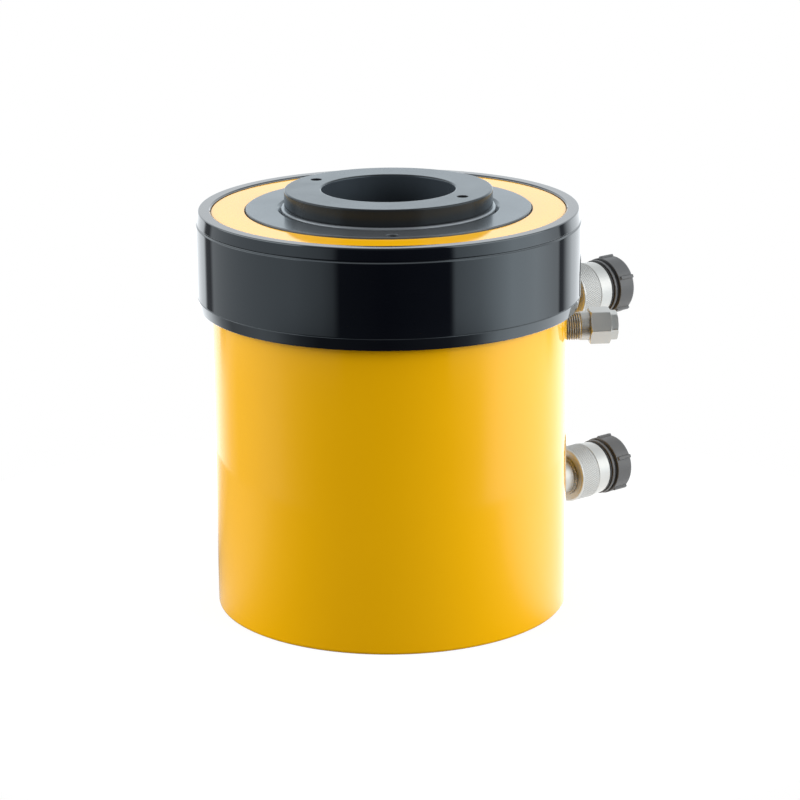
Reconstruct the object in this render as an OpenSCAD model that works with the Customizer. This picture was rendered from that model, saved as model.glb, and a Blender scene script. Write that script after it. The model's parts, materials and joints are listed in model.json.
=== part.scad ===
// Double-acting hollow plunger cylinder, standing on its base, in millimetres.
// The axis of the centre hole is Z, and the base lies on Z = 0. The plunger is drawn retracted.

/* [Body] */
// Wall of the cylinder body round its bore
body_wall = 23.5; // [20:0.5:32]
// Thickness of the closed floor
floor_t = 34; // [30:1:42]
// Chamfer round the foot of the body
body_chamfer = 1.2; // [0.6:0.1:2]
// Height of the lip under the centre tube
tube_lip_h = 8; // [5:0.5:12]
// Width of the lip under the centre tube
tube_lip_w = 8; // [5:0.5:9.5]

/* [Base bolts] */
// Distance from the outside of the body in to the tapped holes in the base
base_bolt_inset = 17.1; // [10:0.1:30]
// Tap drill of the base holes
base_bolt_d = 13.5; // [10:0.1:16]
// Depth of the base holes
base_bolt_depth = 19; // [12:1:24]
// Number of base holes
base_bolt_count = 4; // [3:1:8]
// Angle of the first base hole
base_bolt_angle = 45; // [0:1:90]

/* [Collar ring] */
// How far the collar ring stands out past the body, on the radius
ring_overhang = 8; // [5:0.5:14]
// Height of the collar ring
ring_h = 59; // [48:1:64]
// How far the ring stands above the top face of the body
ring_proud = 1; // [0.4:0.1:2]
// How far the collar is turned below the body, for the ring's thread
collar_step = 0.8; // [0.5:0.1:1.4]
// Height of the tapered bands at both ends of the ring
ring_band_h = 7; // [4:0.5:10]
// How far the bands taper in
ring_band_taper = 1.4; // [0.6:0.1:2.5]
// Width of the groove under the upper band
ring_groove_w = 1.6; // [1:0.1:3]
// Depth of that groove
ring_groove_depth = 0.9; // [0.4:0.1:1.6]

/* [Plunger] */
// Wall of the plunger round the centre tube
plunger_wall = 12.7; // [11:0.1:20]
// How far the piston head stands out past the plunger, on the radius
piston_step = 19; // [16:0.5:28]
// Travel of the plunger
stroke = 76; // [60:1:100]
// Height of the piston head
piston_h = 38; // [38:1:50]
// Height of the oil relief under the piston
piston_relief_h = 16; // [12:1:16]
// Depth of that relief
piston_relief_depth = 4.5; // [3:0.5:7]
// Chamfer on the plunger's top edge
plunger_chamfer = 1.2; // [0.5:0.1:1.4]
// How far the retracted plunger stands above the gland's face
plunger_proud = 0.5; // [0.2:0.1:2]

/* [Centre tube] */
// Hole through the cylinder
hole_d = 79.2; // [60:0.1:100]
// Wall of the centre tube
tube_wall = 11.2; // [9.5:0.1:16]
// Gap between the tube and the saddle when retracted
tube_gap = 2; // [1:0.5:6]
// Chamfer at the mouths of the centre hole
hole_chamfer = 1.2; // [0.6:0.1:2]

/* [Saddle] */
// How far the saddle's rim lies inside the plunger's, on the radius
saddle_inset = 1.8; // [1.2:0.1:4]
// Height of the saddle over the plunger
saddle_h = 10.5; // [8:0.5:20]
// Length of the saddle's threaded spigot
saddle_spigot_h = 18; // [12:1:26]
// How far the spigot is wider than the tube, on the radius
saddle_spigot_step = 2; // [1:0.1:3]
// Chamfer on the saddle's rim
saddle_chamfer = 0.9; // [0.4:0.1:1.5]
// Diameter of the saddle's spanner holes
saddle_pin_d = 6.5; // [4:0.1:8]
// Depth of the saddle's spanner holes
saddle_pin_depth = 8; // [4:0.5:9]
// Angle of the saddle's spanner holes
saddle_pin_angle = -29; // [-90:1:90]

/* [Gland nut] */
// How far the gland's thread is wider than the bore, on the radius
gland_step = 2; // [1.5:0.1:3]
// Length of the gland's thread in the body
gland_thread_h = 55; // [52:1:70]
// Length of the gland's sealed pilot
gland_pilot_h = 14.5; // [12:0.5:20]
// Length of the gland's lower skirt
gland_skirt_h = 24; // [22:1:32]
// Depth of the oil gallery round the skirt
gland_gallery = 6.5; // [4:0.5:8]
// How far the gland stands above the body
gland_proud = 1; // [0.6:0.1:3]
// Lead-in chamfer round the plunger
gland_lead_in = 2.4; // [1:0.1:3]
// Diameter of the gland's spanner holes
gland_pin_d = 7; // [4:0.5:8]
// Depth of the gland's spanner holes
gland_pin_depth = 9; // [5:1:14]
// Metal between the spanner holes and the gland's rim
gland_pin_rim = 2; // [1:0.1:4]
// Angle of the first of the two spanner holes
gland_pin_angle = -86; // [-180:1:0]

/* [Seals] */
// Depth of the seal grooves
seal_depth = 5; // [4:0.1:5.5]
// Width of the seal grooves
seal_w = 7; // [6:0.1:7.5]
// Thickness of the back-up rings
backup_t = 1.8; // [1:0.1:2.2]
// Section of the static O-rings
o_ring_d = 3.5; // [2.5:0.1:4]
// Depth of the guide band grooves
guide_depth = 2.5; // [1.5:0.1:3]
// Width of the guide bands
guide_w = 8; // [6:0.5:8]

/* [Ports] */
// Angle of the two oil ports, from +X towards +Y
port_angle = 42; // [30:1:90]
// Height of the advance port above the floor
lower_port_rise = 13; // [5:0.5:13]
// Height of the retract port above the gland's lower end
upper_port_rise = 17.5; // [6:0.5:18]
// Diameter of the pipe thread
pipe_d = 17; // [14:0.5:18]
// Depth of the pipe thread in the body
pipe_depth = 13.5; // [10:0.5:16]
// Diameter of the oil passages
passage_d = 7; // [4:0.5:8]

/* [Couplers] */
// Length of pipe nipple that shows between body and coupler
nipple_show = 12; // [9:0.5:20]
// Diameter of the coupler body
hub_d = 23; // [22:0.5:26]
// Distance from the body to the knurled collar
collar_standoff = 37.5; // [36.5:0.5:44]
// Diameter of the knurled collar
collar_d = 35; // [34.5:0.5:40]
// Length of the knurled collar
collar_l = 25; // [24:0.5:32]
// Length of the collar's smooth tapered nose
collar_nose_l = 9.5; // [6:0.5:13]
// How far that nose tapers in, on the radius
collar_nose_taper = 0.9; // [0.3:0.1:1.2]
// Wall of the collar at its nose
collar_wall = 2.2; // [1.8:0.1:2.4]
// Thickness of the collar's rear wall
collar_rear_t = 4; // [3:0.5:5]
// Diameter of the check ball
check_ball_d = 11.2; // [10:0.1:12]
// Lap of the check ball over its seat, on the radius
check_seat_lap = 1; // [0.6:0.1:1.4]
// Clearance round the check ball, on the radius
check_ball_room = 0.7; // [0.4:0.1:1]
// Thickness of the ball seat at the tip of the coupler's inner nose
seat_t = 4; // [3:0.5:5]
// Length of the coupler's inner nose
hub_nose_l = 10.7; // [9.5:0.1:12]
// How far that nose is turned below the coupler body, on the radius
hub_nose_step = 1.5; // [0.5:0.1:2]
// Length of pipe thread in the coupler body
hub_socket_l = 9; // [7:0.5:10]
// Thickness of the flange that keeps the collar on
hub_flange_t = 3; // [2:0.1:4]
// Thickness of the snap ring behind the collar
snap_t = 1.5; // [1:0.1:2]
// Depth of the snap ring's groove
snap_depth = 0.9; // [0.5:0.1:1.2]
// How far the snap ring stands out of its groove
snap_proud = 1.3; // [0.8:0.1:2]

/* [Dust caps] */
// Diameter of the cap's grip
cap_d = 36; // [34:0.5:42]
// Length of the cap's grip
cap_grip_l = 12.2; // [9:0.1:18]
// Thickness of the cap's flange
cap_flange_t = 1.8; // [1:0.1:3]
// Width of the groove behind the flange
cap_groove_w = 2.3; // [1:0.1:4]
// Depth of that groove
cap_groove_depth = 1.6; // [0.5:0.1:2.5]
// Number of grip ribs
cap_rib_count = 5; // [3:1:12]
// Height of the ribs
cap_rib_h = 1; // [0.8:0.1:3]
// Width of the ribs
cap_rib_w = 2.2; // [1:0.1:5]
// Wall of the cap
cap_wall = 3; // [2:0.1:3.5]
// Length of the cap's threaded plug
cap_plug_l = 9.5; // [6:0.5:12]
// Thickness of the gasket
gasket_t = 1.7; // [1:0.1:3]
// How far the flange stands out past the collar's front edge, on the radius
cap_flange_proud = 0.8; // [0:0.1:1.5]
// Radius of the grip's outer edge
cap_round = 2.4; // [1:0.1:3]
// How far the ribs stop short of both ends of the grip
cap_rib_inset = 0.6; // [0:0.1:2]
// Turn of the ribs about the cap's axis
cap_rib_turn = 28; // [0:1:72]

/* [Relief valve] */
// Angle of the relief valve, from +X towards +Y
relief_angle = 8; // [-30:1:8]
// Length of thread that shows
relief_thread_show = 9; // [6:0.5:16]
// Length of the plain shank
relief_shank_l = 5.5; // [4:0.5:10]
// Diameter of the plain shank
relief_shank_d = 17.4; // [17:0.1:20]
// Width of the hexagon across its flats
relief_hex_af = 20; // [20:0.5:24]
// Length of the hexagon
relief_hex_l = 12.5; // [10:0.5:18]
// Turn of the hexagon about its axis
relief_hex_turn = 34; // [0:1:60]
// Width of the adjuster's hexagon across its flats
adjuster_af = 16; // [14:0.5:17]
// Length of the adjuster's hexagon
adjuster_head_l = 4.4; // [4:0.1:10]
// Diameter of the relief ball
relief_ball_d = 6.4; // [5:0.1:7]
// Orifice under the relief ball
relief_orifice_d = 3.2; // [2:0.1:4]
// Bore of the spring chamber
relief_chamber_d = 10.4; // [10:0.1:11]
// Depth of the relief seat in the valve's thread
relief_seat_depth = 6.5; // [5:0.1:8]
// Thickness of the button behind the relief ball
relief_button_t = 3; // [2:0.1:4]
// Diameter of the button's stem
relief_stem_d = 4; // [3:0.1:4.5]
// Length of the button's stem
relief_stem_l = 4; // [2:0.1:6]
// Length of the adjuster's thread
adjuster_thread_l = 8; // [6:0.5:9]
// How far the adjuster's thread is wider than the chamber, on the radius
adjuster_thread_step = 0.7; // [0.4:0.1:1]
// Diameter of the vent in the shank
relief_vent_d = 2.5; // [1.5:0.1:3]

/* [Fits] */
// Running clearance of the plunger and the piston, on the radius
run_fit = 0.08; // [0.04:0.01:0.1]
// Clearance of threads and seats that stay still, on the radius
seat_fit = 0.03; // [0.02:0.01:0.05]
// Clearance of the collars, the caps and the collar ring, on the radius
loose_fit = 0.3; // [0.2:0.05:0.4]

/* [Hidden] */
$fn = 128;
eps = 0.01;

// Colours, as the surfaces look
yellow_paint = [0.96, 0.72, 0.05];
black_oxide = [0.10, 0.11, 0.13];
zinc_plate = [0.74, 0.75, 0.74];
black_plastic = [0.17, 0.17, 0.18];
black_rubber = [0.05, 0.05, 0.05];
chrome_steel = [0.80, 0.81, 0.83];
guide_resin = [0.55, 0.40, 0.22];

// Radii
hole_r = hole_d / 2;
tube_r = hole_r + tube_wall;
plunger_r = tube_r + plunger_wall;
bore_r = plunger_r + piston_step;
body_r = bore_r + body_wall;
collar_r = body_r - collar_step;
ring_r = body_r + ring_overhang;
saddle_r = plunger_r - saddle_inset;
spigot_r = tube_r + saddle_spigot_step;
gland_thread_r = bore_r + gland_step;
gland_bore_r = plunger_r + run_fit;
gland_skirt_r = bore_r - gland_gallery;
gland_mouth_r = gland_bore_r + gland_lead_in;
piston_r = bore_r - run_fit;
plunger_bore_r = tube_r + run_fit;

// Heights along the axis, from the base up
end_gap = 0.5;
piston_top = floor_t + piston_h;
gland_bottom = piston_top + stroke + end_gap;
pilot_bottom = gland_bottom + gland_skirt_h;
thread_bottom = pilot_bottom + gland_pilot_h;
body_h = thread_bottom + gland_thread_h;
gland_top = body_h + gland_proud;
plunger_top = gland_top + plunger_proud;
saddle_top = plunger_top + saddle_h;
spigot_bottom = plunger_top - saddle_spigot_h;
tube_top = spigot_bottom - tube_gap;
ring_top = body_h + ring_proud;
ring_bottom = ring_top - ring_h;
lower_port_z = floor_t + lower_port_rise;
upper_port_z = gland_bottom + upper_port_rise;

// Lands between the grooves, and where each groove starts
land = 3;
wiper_z = gland_top - gland_lead_in - land - seal_w;
rod_seal_z = wiper_z - 2 * land - seal_w - backup_t;
upper_guide_z = rod_seal_z - 2 * land - guide_w;
lower_guide_z = gland_bottom + land;
gland_groove_w = o_ring_d + backup_t + 4 * eps;
gland_groove_z = pilot_bottom + (gland_pilot_h - gland_groove_w) / 2;
tube_groove_z = tube_lip_h + (floor_t - tube_lip_h - gland_groove_w) / 2;
piston_guide_z = floor_t + piston_relief_h + land / 2;
piston_seal_z = piston_guide_z + guide_w + land;
tube_guide_z = floor_t + land;
tube_seal_z = tube_guide_z + guide_w + land;

// Coupler stations, measured from the cylinder's axis along the port
pipe_r = pipe_d / 2;
passage_r = passage_d / 2;
pipe_floor = body_r - pipe_depth;
hub_r = hub_d / 2;
hub_start = body_r + nipple_show;
nipple_end = hub_start + hub_socket_l;
collar_start = body_r + collar_standoff;
collar_front = collar_start + collar_l;
collar_nose_start = collar_front - collar_nose_l;
coupler_r = collar_d / 2;
collar_front_r = coupler_r - collar_nose_taper;
collar_cavity_r = collar_front_r - collar_wall;
collar_rear_end = collar_start + collar_rear_t;
hub_flange_start = collar_rear_end + loose_fit;
hub_flange_r = collar_cavity_r - 3 * loose_fit;
hub_flange_end = hub_flange_start + hub_flange_t;
hub_nose_r = hub_r - hub_nose_step;
ball_r = check_ball_d / 2;
ball_seat_r = ball_r - check_seat_lap;
ball_chamber_r = ball_r + check_ball_room;
hub_nose_end = hub_flange_end + hub_nose_l;
ball_seat_s = hub_nose_end - seat_t;
ball_s = ball_seat_s - sqrt(ball_r * ball_r - ball_seat_r * ball_seat_r) - 2 * eps;
snap_start = collar_start - snap_t - loose_fit;

// Dust cap stations
gasket_end = collar_front + gasket_t;
flange_end = gasket_end + cap_flange_t;
grip_start = flange_end + cap_groove_w;
grip_end = grip_start + cap_grip_l;
cap_r = cap_d / 2;
cap_flange_r = collar_front_r + cap_flange_proud;
cap_groove_r = cap_flange_r - cap_groove_depth;
cap_plug_r = collar_cavity_r - loose_fit;
cap_hollow_r = cap_plug_r - cap_wall;
plug_start = collar_front - cap_plug_l;

// Relief valve stations
relief_thread_end = body_r + relief_thread_show;
relief_hex_start = relief_thread_end + relief_shank_l;
relief_hex_end = relief_hex_start + relief_hex_l;
relief_shank_r = relief_shank_d / 2;
relief_hex_r = relief_hex_af / sqrt(3);
relief_seat_s = pipe_floor + relief_seat_depth;
relief_orifice_r = relief_orifice_d / 2;
relief_ball_r = relief_ball_d / 2;
relief_chamber_r = relief_chamber_d / 2;
relief_ball_s = relief_seat_s + 2 * eps
    + sqrt(relief_ball_r * relief_ball_r - relief_orifice_r * relief_orifice_r);
relief_button_s = relief_ball_s + relief_ball_r + eps;
relief_spring_s = relief_button_s + relief_button_t;
relief_stem_r = relief_stem_d / 2;
adjuster_r = adjuster_af / sqrt(3);
adjuster_thread_r = relief_chamber_r + adjuster_thread_step;
adjuster_tip = relief_hex_end - adjuster_thread_l;

// A turned ring with a plain rectangular section.
module ring(r_in, r_out, z, h) {
    rotate_extrude() translate([r_in, z]) square([r_out - r_in, h]);
}

// A turned part from its half section, as points of radius and height.
module turned(section) {
    rotate_extrude() polygon(section);
}

// An O-ring that stands on radius r_in, with its lower side at height z.
module o_ring(r_in, z) {
    section_r = o_ring_d / 2 - eps;
    color(black_rubber)
        rotate_extrude() translate([r_in + eps + section_r, z + eps + section_r]) circle(section_r);
}

// A guide band with the split that lets it snap into its groove.
module guide_band(r_in, r_out, z) {
    split_w = 1.5;
    color(guide_resin) difference() {
        ring(r_in, r_out, z + eps, guide_w - 2 * eps);
        translate([0, -split_w / 2, z - eps]) cube([r_out + 1, split_w, guide_w + 2 * eps]);
    }
}

// Places a part along a port: its own Z runs outwards from the cylinder's axis.
module at_port(angle, z) {
    translate([0, 0, z]) rotate([0, 0, angle]) rotate([0, 90, 0]) children();
}

// A coil spring along Z, swept as one tube round a helix.
module coil_spring(mean_r, wire_r, start, length, turns) {
    sides = 8;
    steps_per_turn = 14;
    steps = turns * steps_per_turn;
    rise = length - 2 * wire_r;
    slope = atan(rise / (2 * PI * mean_r * turns));
    function ring_points(i) = let (
        turn = 360 * i / steps_per_turn,
        height = start + wire_r + rise * i / steps
    ) [
        for (k = [0 : sides - 1]) let (
            a = 360 * k / sides,
            out = mean_r + wire_r * cos(a),
            side = -wire_r * sin(a) * sin(slope)
        ) [
            out * cos(turn) - side * sin(turn),
            out * sin(turn) + side * cos(turn),
            height + wire_r * sin(a) * cos(slope)
        ]
    ];
    points = [for (i = [0 : steps]) each ring_points(i)];
    walls = [
        for (i = [0 : steps - 1], k = [0 : sides - 1]) let (
            a = i * sides + k,
            b = i * sides + (k + 1) % sides
        ) each [[a, b + sides, b], [a, a + sides, b + sides]]
    ];
    first_cap = [for (k = [0 : sides - 1]) k];
    last_cap = [for (k = [sides - 1 : -1 : 0]) steps * sides + k];
    color(chrome_steel) polyhedron(points, concat([first_cap], walls, [last_cap]));
}

// Body

// The pipe-threaded port and its oil passage into the bore.
module port_hole(angle, z) {
    at_port(angle, z) {
        translate([0, 0, pipe_floor]) cylinder(r = pipe_r + seat_fit, h = pipe_depth + ring_r);
        translate([0, 0, bore_r / 2]) cylinder(r = passage_r, h = body_r - bore_r / 2 - eps);
    }
}

module cylinder_body() {
    mouth_chamfer = 0.5;
    lip_r = tube_r - tube_lip_w;
    floor_bore_r = tube_r + seat_fit;
    thread_wall_r = gland_thread_r + seat_fit;
    color(yellow_paint) difference() {
        turned([
            [lip_r, 0],
            [body_r - body_chamfer, 0],
            [body_r, body_chamfer],
            [body_r, ring_bottom],
            [collar_r, ring_bottom],
            [collar_r, body_h - body_chamfer],
            [collar_r - body_chamfer, body_h],
            [thread_wall_r + mouth_chamfer, body_h],
            [thread_wall_r, body_h - mouth_chamfer],
            [thread_wall_r, thread_bottom],
            [bore_r, thread_bottom],
            [bore_r, floor_t],
            [floor_bore_r, floor_t],
            [floor_bore_r, tube_lip_h],
            [lip_r, tube_lip_h]
        ]);
        ring(tube_r, tube_r + o_ring_d, tube_groove_z, gland_groove_w);
        port_hole(port_angle, lower_port_z);
        port_hole(port_angle, upper_port_z);
        port_hole(relief_angle, upper_port_z);
        for (i = [0 : base_bolt_count - 1])
            rotate([0, 0, base_bolt_angle + 360 * i / base_bolt_count])
                translate([body_r - base_bolt_inset, 0, -eps])
                    cylinder(d = base_bolt_d, h = base_bolt_depth + eps);
    }
}

module centre_tube() {
    color(black_oxide) turned([
        [hole_r + hole_chamfer, tube_lip_h],
        [tube_r, tube_lip_h],
        [tube_r, tube_top - hole_chamfer],
        [tube_r - hole_chamfer, tube_top],
        [hole_r + hole_chamfer, tube_top],
        [hole_r, tube_top - hole_chamfer],
        [hole_r, tube_lip_h + hole_chamfer]
    ]);
}

module tube_o_ring() {
    o_ring(tube_r, tube_groove_z);
}

module tube_backup_ring() {
    color(guide_resin)
        ring(tube_r + eps, tube_r + o_ring_d - eps, tube_groove_z + o_ring_d + 2 * eps, backup_t);
}

// Gland

module gland_nut() {
    top_chamfer = 0.6;
    lip_round = 0.5;
    pin_circle_r = gland_thread_r - gland_pin_rim - gland_pin_d / 2;
    color(black_oxide) difference() {
        turned([
            [gland_bore_r, gland_bottom],
            [gland_skirt_r, gland_bottom],
            [gland_skirt_r, pilot_bottom],
            [bore_r - seat_fit, pilot_bottom],
            [bore_r - seat_fit, thread_bottom],
            [gland_thread_r, thread_bottom],
            [gland_thread_r, gland_top - top_chamfer],
            [gland_thread_r - top_chamfer, gland_top],
            [gland_mouth_r + lip_round, gland_top],
            [gland_mouth_r, gland_top - lip_round],
            [gland_bore_r, gland_top - gland_lead_in]
        ]);
        ring(gland_bore_r - eps, plunger_r + seal_depth, wiper_z, seal_w);
        ring(gland_bore_r - eps, plunger_r + seal_depth, rod_seal_z, seal_w + backup_t);
        ring(gland_bore_r - eps, plunger_r + guide_depth, upper_guide_z, guide_w);
        ring(gland_bore_r - eps, plunger_r + guide_depth, lower_guide_z, guide_w);
        ring(bore_r - o_ring_d, bore_r, gland_groove_z, gland_groove_w);
        for (turn = [0, 180])
            rotate([0, 0, gland_pin_angle + turn])
                translate([pin_circle_r, 0, gland_top - gland_pin_depth])
                    cylinder(d = gland_pin_d, h = gland_pin_depth + eps);
    }
}

module rod_wiper() {
    r_in = plunger_r + run_fit;
    r_out = plunger_r + seal_depth - eps;
    heel = seal_w / 3;
    lip_h = 1.2;
    color(black_rubber) turned([
        [r_in + seal_depth / 4, wiper_z + eps],
        [r_out, wiper_z + eps],
        [r_out, wiper_z + seal_w - eps],
        [r_in + seal_depth / 3, wiper_z + seal_w - eps],
        [r_in + seal_depth / 3, wiper_z + seal_w - heel],
        [r_in, wiper_z + seal_w - lip_h],
        [r_in + seal_depth / 4, wiper_z + heel]
    ]);
}

module rod_seal() {
    r_in = plunger_r + run_fit;
    r_out = plunger_r + seal_depth - eps;
    mid_r = (r_in + r_out) / 2;
    notch = seal_w * 0.45;
    color(black_rubber) turned([
        [r_in, rod_seal_z + eps],
        [mid_r - seal_depth / 5, rod_seal_z + eps],
        [mid_r, rod_seal_z + notch],
        [mid_r + seal_depth / 5, rod_seal_z + eps],
        [r_out, rod_seal_z + eps],
        [r_out, rod_seal_z + seal_w - eps],
        [r_in, rod_seal_z + seal_w - eps]
    ]);
}

module rod_backup_ring() {
    color(guide_resin)
        ring(plunger_r + run_fit, plunger_r + seal_depth - eps, rod_seal_z + seal_w, backup_t - eps);
}

module gland_guide_bands() {
    for (z = [upper_guide_z, lower_guide_z])
        guide_band(plunger_r + run_fit, plunger_r + guide_depth - eps, z);
}

module gland_o_ring() {
    o_ring(bore_r - o_ring_d, gland_groove_z);
}

module gland_backup_ring() {
    color(guide_resin)
        ring(bore_r - o_ring_d + eps, bore_r - eps, gland_groove_z + o_ring_d + 2 * eps, backup_t);
}

// The thread protector ring screwed on the body's collar.
module collar_ring() {
    bore = collar_r + run_fit;
    inner_chamfer = 0.8;
    groove_z = ring_top - ring_band_h;
    color(black_oxide) turned([
        [bore, ring_bottom],
        [ring_r - ring_band_taper, ring_bottom],
        [ring_r, ring_bottom + ring_band_h],
        [ring_r, groove_z - ring_groove_w],
        [ring_r - ring_groove_depth, groove_z - ring_groove_w / 2],
        [ring_r - ring_band_taper / 3, groove_z],
        [ring_r - ring_band_taper, ring_top],
        [bore + inner_chamfer, ring_top],
        [bore, ring_top - inner_chamfer]
    ]);
}

// Plunger

module plunger() {
    socket_r = spigot_r + seat_fit;
    color(chrome_steel) difference() {
        turned([
            [plunger_bore_r, floor_t],
            [piston_r - piston_relief_depth, floor_t],
            [piston_r - piston_relief_depth, floor_t + piston_relief_h],
            [piston_r, floor_t + piston_relief_h],
            [piston_r, piston_top],
            [plunger_r, piston_top],
            [plunger_r, plunger_top - plunger_chamfer],
            [plunger_r - plunger_chamfer, plunger_top],
            [socket_r, plunger_top],
            [socket_r, tube_top],
            [plunger_bore_r, tube_top]
        ]);
        ring(bore_r - guide_depth, bore_r, piston_guide_z, guide_w);
        ring(bore_r - seal_depth, bore_r, piston_seal_z, seal_w);
        ring(tube_r, tube_r + guide_depth, tube_guide_z, guide_w);
        ring(tube_r, tube_r + seal_depth, tube_seal_z, seal_w);
    }
}

module piston_seal() {
    r_in = bore_r - seal_depth + eps;
    r_out = bore_r - run_fit;
    mid_r = (r_in + r_out) / 2;
    notch = seal_w * 0.25;
    color(black_rubber) turned([
        [r_in, piston_seal_z + eps],
        [r_out, piston_seal_z + eps],
        [r_out, piston_seal_z + seal_w - eps],
        [mid_r + notch, piston_seal_z + seal_w - eps],
        [mid_r, piston_seal_z + seal_w - notch],
        [mid_r - notch, piston_seal_z + seal_w - eps],
        [r_in, piston_seal_z + seal_w - eps]
    ]);
}

module piston_guide_band() {
    guide_band(bore_r - guide_depth + eps, bore_r - run_fit, piston_guide_z);
}

module tube_seal() {
    r_in = tube_r + run_fit;
    r_out = tube_r + seal_depth - eps;
    mid_r = (r_in + r_out) / 2;
    notch = seal_w * 0.45;
    color(black_rubber) turned([
        [r_in, tube_seal_z + eps],
        [mid_r - seal_depth / 5, tube_seal_z + eps],
        [mid_r, tube_seal_z + notch],
        [mid_r + seal_depth / 5, tube_seal_z + eps],
        [r_out, tube_seal_z + eps],
        [r_out, tube_seal_z + seal_w - eps],
        [r_in, tube_seal_z + seal_w - eps]
    ]);
}

module tube_guide_band() {
    guide_band(tube_r + run_fit, tube_r + guide_depth - eps, tube_guide_z);
}

module saddle() {
    pin_circle_r = (hole_r + saddle_r) / 2;
    color(black_oxide) difference() {
        turned([
            [hole_r, spigot_bottom],
            [spigot_r, spigot_bottom],
            [spigot_r, plunger_top],
            [saddle_r, plunger_top],
            [saddle_r, saddle_top - saddle_chamfer],
            [saddle_r - saddle_chamfer, saddle_top],
            [hole_r + hole_chamfer, saddle_top],
            [hole_r, saddle_top - hole_chamfer]
        ]);
        for (turn = [0, 180])
            rotate([0, 0, saddle_pin_angle + turn])
                translate([pin_circle_r, 0, saddle_top - saddle_pin_depth])
                    cylinder(d = saddle_pin_d, h = saddle_pin_depth + eps);
    }
}

// Couplers

module port_nipple(z) {
    bevel = 0.8;
    color(zinc_plate) at_port(port_angle, z) turned([
        [passage_r, pipe_floor],
        [pipe_r - bevel, pipe_floor],
        [pipe_r, pipe_floor + bevel],
        [pipe_r, nipple_end - bevel],
        [pipe_r - bevel, nipple_end],
        [passage_r, nipple_end]
    ]);
}

module coupler_body(z) {
    bevel = 1;
    socket_r = pipe_r + seat_fit;
    groove_r = hub_r - snap_depth;
    color(zinc_plate) at_port(port_angle, z) turned([
        [socket_r, hub_start],
        [hub_r - bevel, hub_start],
        [hub_r, hub_start + bevel],
        [hub_r, snap_start - eps],
        [groove_r, snap_start - eps],
        [groove_r, snap_start + snap_t + eps],
        [hub_r, snap_start + snap_t + eps],
        [hub_r, hub_flange_start],
        [hub_flange_r, hub_flange_start],
        [hub_flange_r, hub_flange_end],
        [hub_nose_r, hub_flange_end],
        [hub_nose_r, hub_nose_end - bevel],
        [hub_nose_r - bevel, hub_nose_end],
        [ball_seat_r, hub_nose_end],
        [ball_seat_r, ball_seat_s],
        [ball_chamber_r, ball_seat_s],
        [ball_chamber_r, nipple_end],
        [socket_r, nipple_end]
    ]);
}

module collar_snap_ring(z) {
    split_w = 5;
    ring_out_r = hub_r + snap_proud;
    color(chrome_steel) at_port(port_angle, z) difference() {
        ring(hub_r - snap_depth + eps, ring_out_r, snap_start, snap_t);
        translate([0, -split_w / 2, snap_start - eps])
            cube([ring_out_r + 1, split_w, snap_t + 2 * eps]);
    }
}

module coupler_collar(z) {
    rear_bevel = 1;
    front_bevel = 0.5;
    color(zinc_plate) at_port(port_angle, z) turned([
        [hub_r + loose_fit, collar_start],
        [coupler_r - rear_bevel, collar_start],
        [coupler_r, collar_start + rear_bevel],
        [coupler_r, collar_nose_start],
        [collar_front_r, collar_front - front_bevel],
        [collar_front_r - front_bevel, collar_front],
        [collar_cavity_r, collar_front],
        [collar_cavity_r, collar_rear_end],
        [hub_r + loose_fit, collar_rear_end]
    ]);
}

module check_ball(z) {
    color(chrome_steel) at_port(port_angle, z) translate([0, 0, ball_s]) sphere(ball_r);
}

module check_spring(z) {
    wire_r = 0.55;
    spring_end = ball_s - sqrt(ball_r * ball_r - ball_seat_r * ball_seat_r) - wire_r;
    at_port(port_angle, z)
        coil_spring(ball_seat_r, wire_r, nipple_end + eps, spring_end - nipple_end - eps, 6);
}

module cap_gasket(z) {
    color(black_rubber) at_port(port_angle, z)
        ring(cap_plug_r + eps, collar_front_r, collar_front, gasket_t);
}

module dust_cap(z) {
    hollow_end = grip_end - cap_wall;
    plug_bevel = 0.8;
    flange_round = 0.4;
    color(black_plastic) at_port(port_angle, z) {
        rotate_extrude() difference() {
            union() {
                polygon([
                    [0, plug_start],
                    [cap_plug_r - plug_bevel, plug_start],
                    [cap_plug_r, plug_start + plug_bevel],
                    [cap_plug_r, gasket_end],
                    [cap_flange_r - flange_round, gasket_end],
                    [cap_flange_r, gasket_end + flange_round],
                    [cap_flange_r, flange_end],
                    [cap_groove_r, flange_end],
                    [cap_groove_r, grip_start],
                    [cap_r, grip_start],
                    [cap_r, grip_end - cap_round],
                    [cap_r - cap_round, grip_end - cap_round],
                    [cap_r - cap_round, grip_end],
                    [0, grip_end]
                ]);
                intersection() {
                    translate([cap_r - cap_round, grip_end - cap_round]) circle(cap_round);
                    translate([cap_r - cap_round, grip_end - cap_round]) square(cap_round);
                }
            }
            translate([-1, plug_start - 1])
                square([cap_hollow_r + 1, hollow_end - plug_start + 1]);
        }
        for (i = [0 : cap_rib_count - 1])
            rotate([0, 0, cap_rib_turn + 360 * i / cap_rib_count]) grip_rib();
    }
}

// One grip rib, rooted in the cap's wall, with a sloped root end and a blunt tip.
module grip_rib() {
    root_r = cap_r - cap_wall / 2;
    tip_r = cap_r + cap_rib_h;
    rib_start = grip_start + cap_rib_inset;
    rib_end = grip_end - cap_rib_inset;
    rotate([90, 0, 0]) translate([0, 0, -cap_rib_w / 2]) linear_extrude(cap_rib_w) polygon([
        [root_r, rib_start],
        [cap_r, rib_start],
        [tip_r, rib_start + cap_rib_h],
        [tip_r, rib_end],
        [root_r, rib_end]
    ]);
}

// Relief valve

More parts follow.
